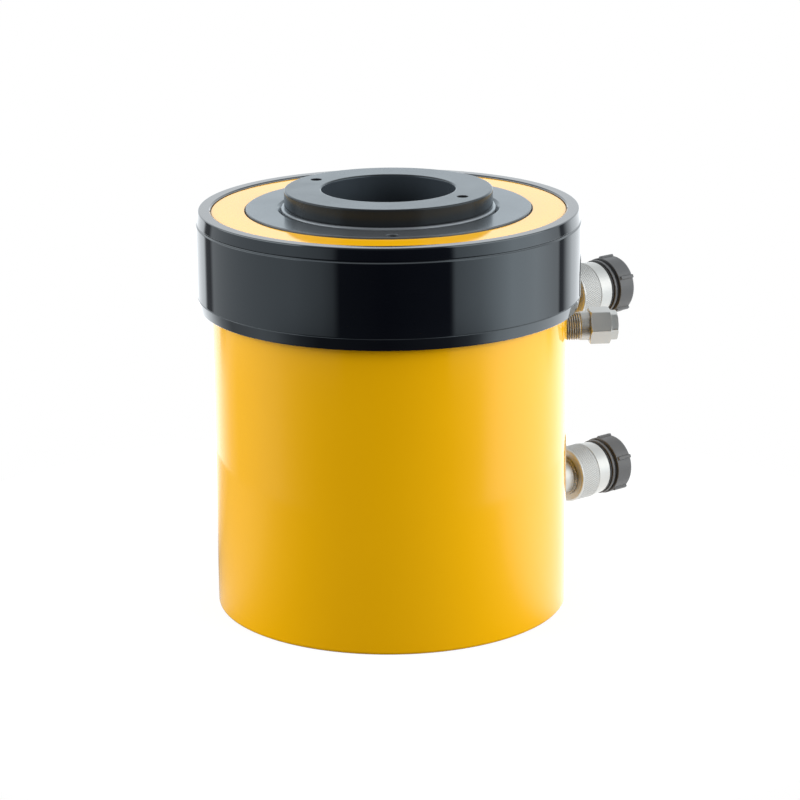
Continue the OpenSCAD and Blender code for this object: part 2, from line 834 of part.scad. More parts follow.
module relief_valve_body() {
    bevel = 0.8;
    hex_bevel = 1.3;
    color(zinc_plate) at_port(relief_angle, upper_port_z) difference() {
        union() {
            turned([
                [0, pipe_floor],
                [pipe_r - bevel, pipe_floor],
                [pipe_r, pipe_floor + bevel],
                [pipe_r, relief_thread_end],
                [relief_shank_r, relief_thread_end],
                [relief_shank_r, relief_hex_start + eps],
                [0, relief_hex_start + eps]
            ]);
            intersection() {
                rotate([0, 0, relief_hex_turn]) translate([0, 0, relief_hex_start])
                    cylinder(r = relief_hex_r, h = relief_hex_l, $fn = 6);
                turned([
                    [0, relief_hex_start],
                    [relief_hex_r - hex_bevel, relief_hex_start],
                    [relief_hex_r + hex_bevel, relief_hex_start + hex_bevel],
                    [relief_hex_r + hex_bevel, relief_hex_end - hex_bevel],
                    [relief_hex_r - hex_bevel, relief_hex_end],
                    [0, relief_hex_end]
                ]);
            }
        }
        translate([0, 0, pipe_floor - eps]) cylinder(r = relief_orifice_r, h = pipe_depth);
        translate([0, 0, relief_seat_s])
            cylinder(r = relief_chamber_r, h = adjuster_tip - relief_seat_s);
        translate([0, 0, adjuster_tip])
            cylinder(r = adjuster_thread_r + seat_fit, h = adjuster_thread_l + eps);
        translate([0, 0, (relief_thread_end + relief_hex_start) / 2])
            rotate([0, 90, 0]) cylinder(d = relief_vent_d, h = relief_shank_r + 1);
    }
}

// The relief ball and the spring button behind it.
module relief_poppet() {
    color(chrome_steel) at_port(relief_angle, upper_port_z) {
        translate([0, 0, relief_ball_s]) sphere(relief_ball_r);
        turned([
            [0, relief_button_s],
            [relief_chamber_r - loose_fit, relief_button_s],
            [relief_chamber_r - loose_fit, relief_spring_s],
            [relief_stem_r, relief_spring_s],
            [relief_stem_r, relief_spring_s + relief_stem_l],
            [0, relief_spring_s + relief_stem_l]
        ]);
    }
}

module relief_spring() {
    wire_r = 0.6;
    mean_r = relief_stem_r + wire_r + loose_fit;
    length = adjuster_tip - relief_spring_s - 2 * eps;
    at_port(relief_angle, upper_port_z) coil_spring(mean_r, wire_r, relief_spring_s + eps, length, 6);
}

module relief_adjuster() {
    head_end = relief_hex_end + adjuster_head_l;
    head_bevel = 1;
    color(zinc_plate) at_port(relief_angle, upper_port_z) {
        translate([0, 0, adjuster_tip]) cylinder(r = adjuster_thread_r, h = adjuster_thread_l + eps);
        intersection() {
            rotate([0, 0, relief_hex_turn]) translate([0, 0, relief_hex_end])
                cylinder(r = adjuster_r, h = adjuster_head_l, $fn = 6);
            turned([
                [0, relief_hex_end],
                [adjuster_r + head_bevel, relief_hex_end],
                [adjuster_r + head_bevel, head_end - head_bevel],
                [adjuster_r - head_bevel, head_end],
                [0, head_end]
            ]);
        }
    }
}

cylinder_body();
centre_tube();
tube_o_ring();
tube_backup_ring();
gland_nut();
rod_wiper();
rod_seal();
rod_backup_ring();
gland_guide_bands();
gland_o_ring();
gland_backup_ring();
collar_ring();
plunger();
piston_seal();
piston_guide_band();
tube_seal();
tube_guide_band();
saddle();
port_nipple(upper_port_z);  // upper_port_nipple
coupler_body(upper_port_z);  // upper_coupler_body
collar_snap_ring(upper_port_z);  // upper_collar_snap_ring
coupler_collar(upper_port_z);  // upper_coupler_collar
check_ball(upper_port_z);  // upper_check_ball
check_spring(upper_port_z);  // upper_check_spring
cap_gasket(upper_port_z);  // upper_cap_gasket
dust_cap(upper_port_z);  // upper_dust_cap
port_nipple(lower_port_z);  // lower_port_nipple
coupler_body(lower_port_z);  // lower_coupler_body
collar_snap_ring(lower_port_z);  // lower_collar_snap_ring
coupler_collar(lower_port_z);  // lower_coupler_collar
check_ball(lower_port_z);  // lower_check_ball
check_spring(lower_port_z);  // lower_check_spring
cap_gasket(lower_port_z);  // lower_cap_gasket
dust_cap(lower_port_z);  // lower_dust_cap
relief_valve_body();
relief_poppet();
relief_spring();
relief_adjuster();
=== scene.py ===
"""Looks of the hollow plunger cylinder: turned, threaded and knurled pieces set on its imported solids."""
import json
import math

import bpy
import numpy as np
from mathutils import Matrix, Vector


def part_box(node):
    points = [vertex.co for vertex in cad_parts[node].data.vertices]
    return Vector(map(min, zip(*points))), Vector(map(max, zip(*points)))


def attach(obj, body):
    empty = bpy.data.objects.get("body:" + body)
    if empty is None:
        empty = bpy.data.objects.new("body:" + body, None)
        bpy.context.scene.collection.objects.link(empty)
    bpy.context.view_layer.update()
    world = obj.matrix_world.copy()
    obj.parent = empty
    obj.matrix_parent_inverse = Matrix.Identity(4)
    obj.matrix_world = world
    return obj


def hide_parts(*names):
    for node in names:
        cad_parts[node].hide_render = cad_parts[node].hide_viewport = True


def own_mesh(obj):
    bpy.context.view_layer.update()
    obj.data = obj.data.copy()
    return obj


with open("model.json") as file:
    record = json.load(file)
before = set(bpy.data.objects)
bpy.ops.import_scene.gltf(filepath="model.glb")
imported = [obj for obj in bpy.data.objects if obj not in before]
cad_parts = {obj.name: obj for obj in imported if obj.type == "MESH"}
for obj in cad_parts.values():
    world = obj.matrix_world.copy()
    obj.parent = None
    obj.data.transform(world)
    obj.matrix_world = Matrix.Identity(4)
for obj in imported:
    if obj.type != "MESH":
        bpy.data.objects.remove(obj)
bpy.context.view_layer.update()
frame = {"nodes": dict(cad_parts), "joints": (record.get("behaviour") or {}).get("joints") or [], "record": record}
NODES = frame["nodes"]
RECORD = frame["record"]
scene = bpy.context.scene
mm = 0.001
inch = 25.4 * mm


# Camera at the photograph's angle, for a square picture

CAMERA_AZIMUTH = math.radians(2.56)
CAMERA_DISTANCE = 1700 * mm
CAMERA_HEIGHT = 606.56 * mm
CAMERA_PITCH = 0.27676
CAMERA_YAW = 0.00342
CAMERA_ROLL = -0.0085
# Focal length over the picture's width, both in pixels
FOCAL_SHARE = 2932.148 / 800
SENSOR_WIDTH = 36.0


def make_camera():
    """Forward is turned by the yaw and pitched down, the picture is rolled, and the whole is
    carried round the cylinder by the azimuth."""
    cy, sy = math.cos(CAMERA_YAW), math.sin(CAMERA_YAW)
    cp, sp = math.cos(CAMERA_PITCH), math.sin(CAMERA_PITCH)
    forward = Vector((sy * cp, cy * cp, -sp))
    right = Vector((cy, -sy, 0))
    up = right.cross(forward)
    cr, sr = math.cos(CAMERA_ROLL), math.sin(CAMERA_ROLL)
    basis = Matrix((cr * right + sr * up, cr * up - sr * right, -forward)).transposed().to_4x4()
    standing = Matrix.Translation((0, -CAMERA_DISTANCE, CAMERA_HEIGHT)) @ basis
    data = bpy.data.cameras.new("camera")
    data.sensor_width = SENSOR_WIDTH
    data.lens = FOCAL_SHARE * SENSOR_WIDTH
    camera = bpy.data.objects.new("camera", data)
    camera.matrix_world = Matrix.Rotation(CAMERA_AZIMUTH, 4, "Z") @ standing
    scene.collection.objects.link(camera)
    scene.camera = camera


make_camera()


# Sizes read off the frame

READ_WITHIN = 0.02 * mm
SAME_WALL = 0.01 * mm


class Axis:
    """A turning axis: where it starts, where it points, and where angle zero lies."""

    def __init__(self, start, along, zero):
        self.start = np.array(start, float)
        self.along = np.array(along, float) / np.linalg.norm(along)
        self.zero = np.array(zero, float)
        self.quarter = np.cross(self.along, self.zero)

    def place(self, radius, angle, station):
        """Points at a radius and an angle round the axis, a station along it."""
        out = np.multiply.outer(np.cos(angle), self.zero) + np.multiply.outer(np.sin(angle), self.quarter)
        return self.start + station[..., None] * self.along + radius[..., None] * out

    def measure(self, mesh):
        """Station along the axis and distance from it, for every vertex of a mesh."""
        flat = np.empty(3 * len(mesh.vertices))
        mesh.vertices.foreach_get("co", flat)
        offset = flat.reshape(-1, 3) - self.start
        station = offset @ self.along
        return station, np.linalg.norm(offset - np.outer(station, self.along), axis=1)


class Reach:
    """How far a node reaches: its lowest and highest station, and its inner and outer radius."""

    def __init__(self, axis, node):
        self.station, self.radius = axis.measure(NODES[node].data)
        self.low, self.high = self.station.min(), self.station.max()
        self.inner, self.outer = self.radius.min(), self.radius.max()

    def beyond(self, radius):
        """Lowest and highest station among the vertices that lie at that radius or further out."""
        wide = self.station[self.radius > radius - READ_WITHIN]
        return wide.min(), wide.max()

    def at(self, radius):
        """Lowest and highest station among the vertices that lie at a radius."""
        near = self.station[abs(self.radius - radius) < READ_WITHIN]
        return near.min(), near.max()

    def within(self, low, high):
        """Inner and outer radius among the vertices between two stations."""
        near = self.radius[(self.station > low - READ_WITHIN) & (self.station < high + READ_WITHIN)]
        return near.min(), near.max()


def joint_row(name):
    """A joint's row in the record."""
    return next(row for row in frame["joints"] if row["name"] == name)


def port_axis(joint_name, node):
    """The axis of a port: from the cylinder's axis outwards along a joint, at a node's height, with
    angle zero pointing down."""
    low, high = (np.array(corner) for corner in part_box(node))
    middle = (low + high) / 2
    along = np.array(joint_row(joint_name)["axis"], float)
    return Axis((0, 0, middle[2]), along * np.sign(along @ middle), (0, 0, -1))


UPRIGHT = Axis((0, 0, 0), (0, 0, 1), (1, 0, 0))
PORTS = {side: port_axis(f"{side}_collar_spin", f"{side}_port_nipple") for side in ("upper", "lower")}
RELIEF = port_axis("relief_lift", "relief_adjuster")

body = Reach(UPRIGHT, "cylinder_body")
tube = Reach(UPRIGHT, "centre_tube")
gland = Reach(UPRIGHT, "gland_nut")
ring = Reach(UPRIGHT, "collar_ring")
plunger = Reach(UPRIGHT, "plunger")
saddle = Reach(UPRIGHT, "saddle")

SEAT_FIT = 0.03 * mm
RUN_FIT = 0.08 * mm


# Outlines: rows of radius and station, run so that an outside wall goes up

ARC_POINTS = 5
SHORTEST_ARC = 0.04 * mm
LONGEST_ARC_SHARE = 0.42
SUPPORT = 0.25 * mm
SUPPORT_SHARE = 0.3
GROOVE_EDGE = 0.15 * mm


def rounded(corners, closed=True):
    """An outline from corners of (radius, station, fillet). Each corner becomes a quadratic curve between
    its two tangent points, and a point a little further out on both sides keeps the flats flat.
    An open outline keeps its two end points as they are."""
    rows = np.array(corners, float)
    here, fillet = rows[:, :2], rows[:, 2]
    back, on = np.roll(here, 1, axis=0) - here, np.roll(here, -1, axis=0) - here
    back_len, on_len = np.linalg.norm(back, axis=1), np.linalg.norm(on, axis=1)
    back, on = back / back_len[:, None], on / on_len[:, None]
    half = np.arccos(np.clip((back * on).sum(axis=1), -1, 1)) / 2
    room = LONGEST_ARC_SHARE * np.minimum(back_len, on_len)
    tangent = np.clip(fillet / np.tan(half), np.minimum(SHORTEST_ARC, room), room)
    support = np.minimum(SUPPORT, SUPPORT_SHARE * (np.minimum(back_len, on_len) / 2 - tangent))
    first, last = here + back * tangent[:, None], here + on * tangent[:, None]
    t = np.linspace(0, 1, ARC_POINTS)[None, :, None]
    arc = (1 - t) ** 2 * first[:, None] + 2 * t * (1 - t) * here[:, None] + t ** 2 * last[:, None]
    before = here + back * (tangent + support)[:, None]
    after = here + on * (tangent + support)[:, None]
    curves = np.concatenate([before[:, None], arc, after[:, None]], axis=1)
    if closed:
        return curves.reshape(-1, 2)
    return np.concatenate([here[:1], curves[1:-1].reshape(-1, 2), here[-1:]])


def groove(wall, floor, first, last):
    """Corners of a square groove in a wall, from the edge that the outline meets first to the other."""
    return [(r, station, GROOVE_EDGE) for r, station in
            ((wall, first), (floor, first), (floor, last), (wall, last))]


def fine(outline, step, low, high, inside=0.0, outside=1.0):
    """The outline with its steps between two stations, and between two radii, cut into short ones."""
    onward = np.roll(outline, -1, axis=0)
    both = np.stack([outline, onward])
    chosen = ((both[..., 1] > low - SAME_WALL) & (both[..., 1] < high + SAME_WALL)
              & (both[..., 0] > inside) & (both[..., 0] < outside)).all(axis=0)
    length = np.linalg.norm(onward - outline, axis=1)
    count = np.where(chosen, np.ceil(length / step), 1).astype(int)
    row = np.repeat(np.arange(len(outline)), count)
    share = (np.arange(count.sum()) - np.repeat(np.cumsum(count) - count, count)) / count[row]
    return outline[row] + share[:, None] * (onward - outline)[row]


def fine_wall(outline, step, wall, low, high):
    """The outline with its steps along the wall at a radius cut into short ones, between two stations."""
    return fine(outline, step, low, high, wall - SAME_WALL, wall + SAME_WALL)


# Patterns cut into turned surfaces

def triangle(turns):
    """A wave from 0 up to 1 and back over each whole turn."""
    return 1 - abs(2 * (turns % 1) - 1)


def smooth(share):
    """A share held between 0 and 1, with soft ends."""
    held = np.clip(share, 0, 1)
    return held * held * (3 - 2 * held)


def fade(value, low, high, width):
    """1 between two limits, falling smoothly to 0 over a width inside each of them."""
    return smooth(np.minimum(value - low, high - value) / width)


THREAD_SLOPE = 1.3
THREAD_CREST = 0.15


def thread_cut(angle, station, pitch):
    """Share of a thread's depth cut away: a triangle wave that climbs one pitch a turn, cut flat at its
    crests and roots."""
    return np.clip(THREAD_SLOPE * triangle(station / pitch - angle / math.tau) - THREAD_CREST, 0, 1)


def outside_thread(pitch, depth, wall, low, high):
    """A shape that cuts a thread into the wall that lies at a radius, between two stations."""
    def shape(radius, angle, station):
        cut = depth * fade(station, low, high, pitch) * thread_cut(angle, station, pitch)
        return radius - np.where(abs(radius - wall) < SAME_WALL, cut, 0)

    return shape


def knurl_cut(angle, station, teeth, lead):
    """Share of the knurl's depth cut away: the deeper of two triangle grooves that wind opposite ways."""
    left = triangle(teeth * angle / math.tau + station / lead)
    right = triangle(teeth * angle / math.tau - station / lead)
    return 1 - np.minimum(left, right)


def hexagon(angle, corner_r, turn):
    """Radius of a hexagon: the flat's distance over the cosine of the angle from that flat's middle."""
    sixth = math.pi / 3
    return corner_r * math.cos(sixth / 2) / np.cos((angle - turn) % sixth - sixth / 2)


# Meshes

SLOT_OF = {row["node"]: row["material_slot"] for row in RECORD["subparts"]}
BODY_OF = {node: name for name, nodes in RECORD["behaviour"]["bodies"].items() for node in nodes}
RECESS_FULL = 0.5 * mm
MARKS_ACROSS = 0.85
SHARP = math.radians(32)
DRILL_COLUMNS = 64
DRILL_TIP = 0.1 * mm


def set_attribute(mesh, name, values):
    """Keeps one number a vertex in the mesh, for its material."""
    mesh.attributes.new(name, "FLOAT", "POINT").data.foreach_set("value", values.ravel().astype(np.float32))


def new_piece(name, points, faces):
    """An object with these points and smooth faces, at the origin."""
    mesh = bpy.data.meshes.new(name)
    mesh.from_pydata(points.reshape(-1, 3).tolist(), [], faces)
    mesh.polygons.foreach_set("use_smooth", np.ones(len(mesh.polygons), bool))
    piece = bpy.data.objects.new(name, mesh)
    scene.collection.objects.link(piece)
    return piece


def turned(name, axis, outline, columns, shape=None, finish_of=None, capped=False, cuts_within=1.0):
    """An outline carried once round an axis: point (i, j) lies at the outline's station i and at its
    radius i, changed by shape(radius, angle, station), at angle j. Columns close on themselves. Rows
    close too, or a capped outline's first and last row are each filled with one flat face. What the
    shape cuts away within a radius is kept as the depth of a thread or knurl."""
    angle = math.tau * np.arange(columns) / columns
    plain, station = outline[:, :1] + 0 * angle, outline[:, 1:] + 0 * angle
    radius = plain if shape is None else shape(plain, angle + 0 * plain, station)
    points = axis.place(radius, angle, station)
    index = np.arange(radius.size).reshape(radius.shape)
    right = np.roll(index, -1, axis=1)
    faces = np.stack([index, right, np.roll(right, -1, axis=0), np.roll(index, -1, axis=0)], axis=-1)
    bands = len(outline) - capped
    quads = faces[:bands].reshape(-1, 4).tolist()
    ends = [index[0, ::-1].tolist(), index[-1].tolist()] if capped else []
    piece = new_piece(name, points, quads + ends)
    if finish_of is not None:
        middle = (outline + np.roll(outline, -1, axis=0))[:bands] / 2
        slots = np.repeat(finish_of(middle[:, 0], middle[:, 1]).astype(np.int32), columns)
        every = np.concatenate([slots, np.zeros(len(ends), np.int32)])
        piece.data.polygons.foreach_set("material_index", every)
    cut = np.where(plain < cuts_within, plain - radius, 0)
    set_attribute(piece.data, "recess", np.clip(cut / RECESS_FULL, 0, 1))
    return piece


def drill(piece, axes, outline):
    """Cuts one hole along each axis, with the turned outline of a drill."""
    tools = [turned(f"drill_{i}", axis, outline, DRILL_COLUMNS, capped=True) for i, axis in enumerate(axes)]
    for tool in tools:
        cut = piece.modifiers.new("hole", "BOOLEAN")
        cut.operation = "DIFFERENCE"
        cut.solver = "EXACT"
        cut.object = tool
    graph = bpy.context.evaluated_depsgraph_get()
    mesh = bpy.data.meshes.new_from_object(piece.evaluated_get(graph))
    piece.modifiers.clear()
    piece.data = mesh
    mesh.set_sharp_from_angle(angle=SHARP)
    for tool in tools:
        bpy.data.objects.remove(tool)


def drill_outline(radius, depth, sink, over):
    """A drill that enters a face at station 0: its tip, its wall, and the flare that leaves a small
    countersink and runs on over the face."""
    return np.array([(DRILL_TIP, -depth - radius / 2), (radius, -depth), (radius, -sink),
                     (radius + sink, 0), (radius + sink + over, over)])


def place(piece, node, axis, second=None, first=None):
    """The piece stands for a node: it rides on that node's body and takes its slot, with that slot's finish
    or another as its first, and carries the run of its turning marks, which is the distance along the axis
    plus a share of that from it."""
    station, radius = axis.measure(piece.data)
    set_attribute(piece.data, "turning", station + MARKS_ACROSS * radius)
    slots = np.zeros(len(piece.data.polygons), np.int32)
    piece.data.polygons.foreach_get("material_index", slots)
    piece.data.materials.clear()
    for material in filter(None, (first or FINISHES[SLOT_OF[node]], second)):
        piece.data.materials.append(material)
    piece.data.polygons.foreach_set("material_index", slots)
    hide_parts(node)
    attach(piece, BODY_OF[node])


# Finishes

def add(tree, kind, values=(), **settings):
    """Adds a shader node: settings are its own, and values fill its inputs by name or place, as links
    where they are sockets."""
    node = tree.nodes.new("ShaderNode" + kind)
    for key, value in settings.items():
        setattr(node, key, value)
    pairs = values.items() if isinstance(values, dict) else enumerate(values)
    for key, value in pairs:
        if isinstance(value, bpy.types.NodeSocket):
            tree.links.new(value, node.inputs[key])
        elif value is not None:
            node.inputs[key].default_value = value
    return node


class Finish:
    """A principled material with the nodes that its detail is built from."""

    def __init__(self, name, **sockets):
        self.material = bpy.data.materials.new(name)
        self.material.use_nodes = True
        self.tree = self.material.node_tree
        self.shader = self.tree.nodes["Principled BSDF"]
        for key, value in sockets.items():
            self.shader.inputs[key.replace("_", " ")].default_value = value
        self.coords = add(self.tree, "TexCoord").outputs["Object"]

    def noise(self, scale, detail=2.0, rough=0.5, stretch=None):
        """Noise over Object coordinates, in waves a metre."""
        at = self.coords
        if stretch:
            at = add(self.tree, "Mapping", {"Vector": at, "Scale": stretch}).outputs[0]
        values = {"Vector": at, "Scale": scale, "Detail": detail, "Roughness": rough}
        return add(self.tree, "TexNoise", values).outputs["Fac"]

    def lines(self, scale, detail=3.0):
        """Noise along the run of the turning marks, in waves a metre."""
        run = add(self.tree, "Attribute", attribute_name="turning").outputs["Fac"]
        values = {"W": run, "Scale": scale, "Detail": detail}
        return add(self.tree, "TexNoise", values, noise_dimensions="1D").outputs["Fac"]

    def recess(self):
        """How deep a point lies in a thread or knurl, from 0 to 1."""
        return add(self.tree, "Attribute", attribute_name="recess").outputs["Fac"]

    def ramp(self, value, low, high, from_low=0.3, from_high=0.7):
        """A value moved from one span to another."""
        values = {"Value": value, "From Min": from_low, "From Max": from_high,
                  "To Min": low, "To Max": high}
        return add(self.tree, "MapRange", values).outputs[0]

    def blend(self, share, first, second):
        """A colour between two, by a share."""
        return add(self.tree, "MixRGB", [share, first, second]).outputs[0]

    def math(self, operation, *values):
        """One arithmetic step."""
        return add(self.tree, "Math", values, operation=operation).outputs[0]

    def set(self, socket, value):
        """Links a value to one of the shader's sockets."""
        self.tree.links.new(value, self.shader.inputs[socket])

    def cover(self, share, first, second, smoothest, roughest):
        """Colour and roughness that change together by a share."""
        self.set("Base Color", self.blend(share, first, second))
        self.set("Roughness", self.ramp(share, smoothest, roughest))

    def grain(self, height, depth, under=None):
        """Bump from a height between 0 and 1, as deep as the depth, over the grain under it."""
        bump = add(self.tree, "Bump", {"Height": height, "Distance": depth, "Strength": 1.0, "Normal": under})
        self.set("Normal", bump.outputs[0])
        return bump.outputs[0]


def grey(value, blue=0.0):
    """A linear grey, a little bluer by a share."""
    return (value * (1 - blue), value * (1 - blue / 2), value, 1)


def yellow_enamel():
    """Sprayed enamel: two near yellows in broad clouds, soft orange peel, a clear glossy skin."""
    paint = Finish("yellow_enamel", Coat_Weight=1.0, Coat_Roughness=0.08, Specular_IOR_Level=0.0)
    clouds = paint.noise(14, 3)
    paint.set("Base Color", paint.blend(clouds, (0.93, 0.455, 0.0008, 1), (0.96, 0.485, 0.0012, 1)))
    paint.set("Roughness", paint.ramp(paint.noise(90, 3), 0.24, 0.34))
    paint.grain(paint.noise(420, 2), 0.006 * mm)
    return paint.material


def ring_black():
    """Blued steel polished to a glossy blue-black, with fine marks that run round it."""
    black = Finish("ring_black", Specular_IOR_Level=1.0, Specular_Tint=(0.82, 0.94, 1.0, 1))
    marks = black.lines(2600)
    smears = black.noise(26, 4, 0.6)
    black.cover(smears, (0.0022, 0.0028, 0.0052, 1), (0.0036, 0.0042, 0.0068, 1), 0.035, 0.07)
    black.grain(marks, 0.0004 * mm)
    return black.material


def black_oxide(name, dark, pale, blue=0.1):
    """Oxide-blacked turned steel: satin, in clouds between two near greys, with fine turning marks."""
    oxide = Finish(name, Metallic=0.3, Specular_IOR_Level=0.3, Specular_Tint=(0.72, 0.89, 1.0, 1))
    cast = oxide.noise(38, 4, 0.6)
    marks = oxide.lines(3800)
    oxide.set("Base Color", oxide.blend(cast, grey(dark, blue), grey(pale, blue)))
    rough = oxide.math("ADD", oxide.ramp(cast, 0.18, 0.24), oxide.ramp(marks, -0.02, 0.03))
    oxide.set("Roughness", rough)
    oxide.grain(marks, 0.001 * mm)
    return oxide.material


def tube_steel():
    """Dark phosphated tube: dull, mottled and drawn lengthwise."""
    steel = Finish("tube_steel", Metallic=0.6)
    mottle = steel.noise(240, 4, 0.65)
    drawn = steel.noise(600, 2, 0.5, (1, 1, 0.03))
    steel.cover(mottle, grey(0.016), grey(0.034, 0.1), 0.34, 0.5)
    steel.grain(drawn, 0.004 * mm)
    return steel.material


def hard_chrome():
    """Ground hard chrome: bright, with hairlines round the rod."""
    chrome = Finish("hard_chrome", Metallic=1.0)
    hair = chrome.lines(5200, 4)
    chrome.set("Base Color", chrome.blend(chrome.noise(20, 2), grey(0.38, 0.04), grey(0.45, 0.03)))
    chrome.set("Roughness", chrome.ramp(hair, 0.12, 0.19))
    chrome.grain(hair, 0.0015 * mm)
    return chrome.material


def zinc_plate():
    """Bright zinc plate: silvery with a faint yellow cast in patches, with painted shade that darkens it down in
    threads and knurls.
    """
    zinc = Finish("zinc_plate", Metallic=0.75)
    patches = zinc.noise(70, 3, 0.5)
    plate = zinc.blend(patches, (0.43, 0.437, 0.425, 1), (0.5, 0.5, 0.478, 1))
    # Painted shade: the plate's colour runs towards dark grey with the depth of a thread or knurl.
    deep = zinc.math("MULTIPLY", zinc.math("POWER", zinc.recess(), 1.6), 0.6)
    zinc.set("Base Color", zinc.blend(deep, plate, grey(0.13)))
    zinc.set("Roughness", zinc.ramp(patches, 0.34, 0.40))
    zinc.grain(zinc.lines(3000), 0.002 * mm, under=zinc.grain(zinc.noise(3200, 2), 0.002 * mm))
    return zinc.material


def thread_steel():
    """Dark bare steel of a cut thread, with painted shade in its roots."""
    steel = Finish("thread_steel", Metallic=1.0)
    stain = steel.noise(90, 4, 0.6)
    flank = steel.blend(stain, grey(0.15, 0.05), grey(0.24, 0.02))
    # Painted shade: the colour runs towards near black with the depth of the thread's root.
    steel.set("Base Color", steel.blend(steel.recess(), flank, grey(0.03)))
    steel.set("Roughness", steel.ramp(stain, 0.25, 0.42))
    steel.grain(steel.noise(1800, 3), 0.01 * mm)
    return steel.material


def spring_steel():
    """Bright drawn wire with a light straw cast."""
    wire = Finish("spring_steel", Metallic=1.0)
    drawn = wire.noise(800, 3)
    wire.cover(drawn, grey(0.34, 0.02), (0.46, 0.44, 0.40, 1), 0.2, 0.34)
    return wire.material


def cap_plastic():
    """Moulded dark plastic with a fine even grain, a little greyer where it is rubbed."""
    plastic = Finish("cap_plastic", Specular_IOR_Level=0.45)
    rubbed = plastic.noise(160, 4, 0.6)
    plastic.cover(rubbed, grey(0.07, 0.03), grey(0.092, 0.02), 0.38, 0.5)
    plastic.grain(plastic.noise(2600, 2), 0.02 * mm)
    return plastic.material


def seal_rubber():
    """Black nitrile rubber: matt, with a fine bloom."""
    rubber = Finish("seal_rubber", Specular_IOR_Level=0.4)
    bloom = rubber.noise(300, 4, 0.6)
    rubber.cover(bloom, grey(0.009), grey(0.016), 0.42, 0.6)
    rubber.grain(rubber.noise(1600, 2), 0.01 * mm)
    return rubber.material


def guide_resin():
    """Fabric-filled resin: brown, with the weave just showing."""
    resin = Finish("guide_resin", Specular_IOR_Level=0.4)
    weave = resin.noise(900, 2, 0.5, (1, 1, 2.5))
    resin.cover(weave, (0.26, 0.15, 0.065, 1), (0.38, 0.25, 0.12, 1), 0.4, 0.55)
    resin.grain(weave, 0.02 * mm)
    return resin.material


FINISHES = {
    "yellow_paint": yellow_enamel(),
    "black_oxide": black_oxide("black_oxide", 0.09, 0.115),
    "black_ring": ring_black(),
    "tube_steel": tube_steel(),
    "chrome_steel": hard_chrome(),
    "zinc_plate": zinc_plate(),
    "spring_steel": spring_steel(),
    "black_plastic": cap_plastic(),
    "black_rubber": seal_rubber(),
    "guide_resin": guide_resin(),
}
THREAD_STEEL = thread_steel()
SADDLE_BLACK = black_oxide("saddle_black", 0.020, 0.027)
# The saddle's machined bore: a paler, bluer copy of the black oxide, painted light that falls into the hole.
LIT_BORE_BLACK = black_oxide("bore_black_painted_light", 0.055, 0.07, 0.3)
# Painted shade: a dull oxide for the chromed plunger's top rim, for the dark gap under the saddle.
RIM_SHADE_BLACK = black_oxide("rim_painted_shade", 0.2, 0.24)

for node_name, slot in SLOT_OF.items():
    NODES[node_name].data.materials.clear()
    NODES[node_name].data.materials.append(FINISHES[slot])


# Body, ring and tube

COLLAR_PITCH = inch / 12
COLLAR_THREAD_DEPTH = 0.9 * mm
COLLAR_PLAIN_FOOT, COLLAR_PLAIN_TOP = 1.5 * mm, 1.2 * mm
ROWS_A_PITCH = 7
BARREL_COLUMNS = 288
TUBE_COLUMNS = 192
MOUTH_BEVEL = 0.9 * mm
BREAK_THROUGH = 2 * mm
BASE_HOLE_DEPTH = 19 * mm
BASE_HOLE_TURN = math.radians(45)


def mount(name):
    """A mount's row in the record."""
    return next(row for row in RECORD["mounts"] if row["name"] == name)


def around_face(circle_r, count, turn, height, along):
    """Axes of evenly spaced holes on a circle, standing on a face at a height."""
    angles = turn + math.tau * np.arange(count) / count
    return [Axis((circle_r * math.cos(a), circle_r * math.sin(a), height), (0, 0, along), (1, 0, 0))
            for a in angles]


def stacked(*rings):
    """Lowest and highest station of rings that share a groove."""
    return min(each.low for each in rings), max(each.high for each in rings)


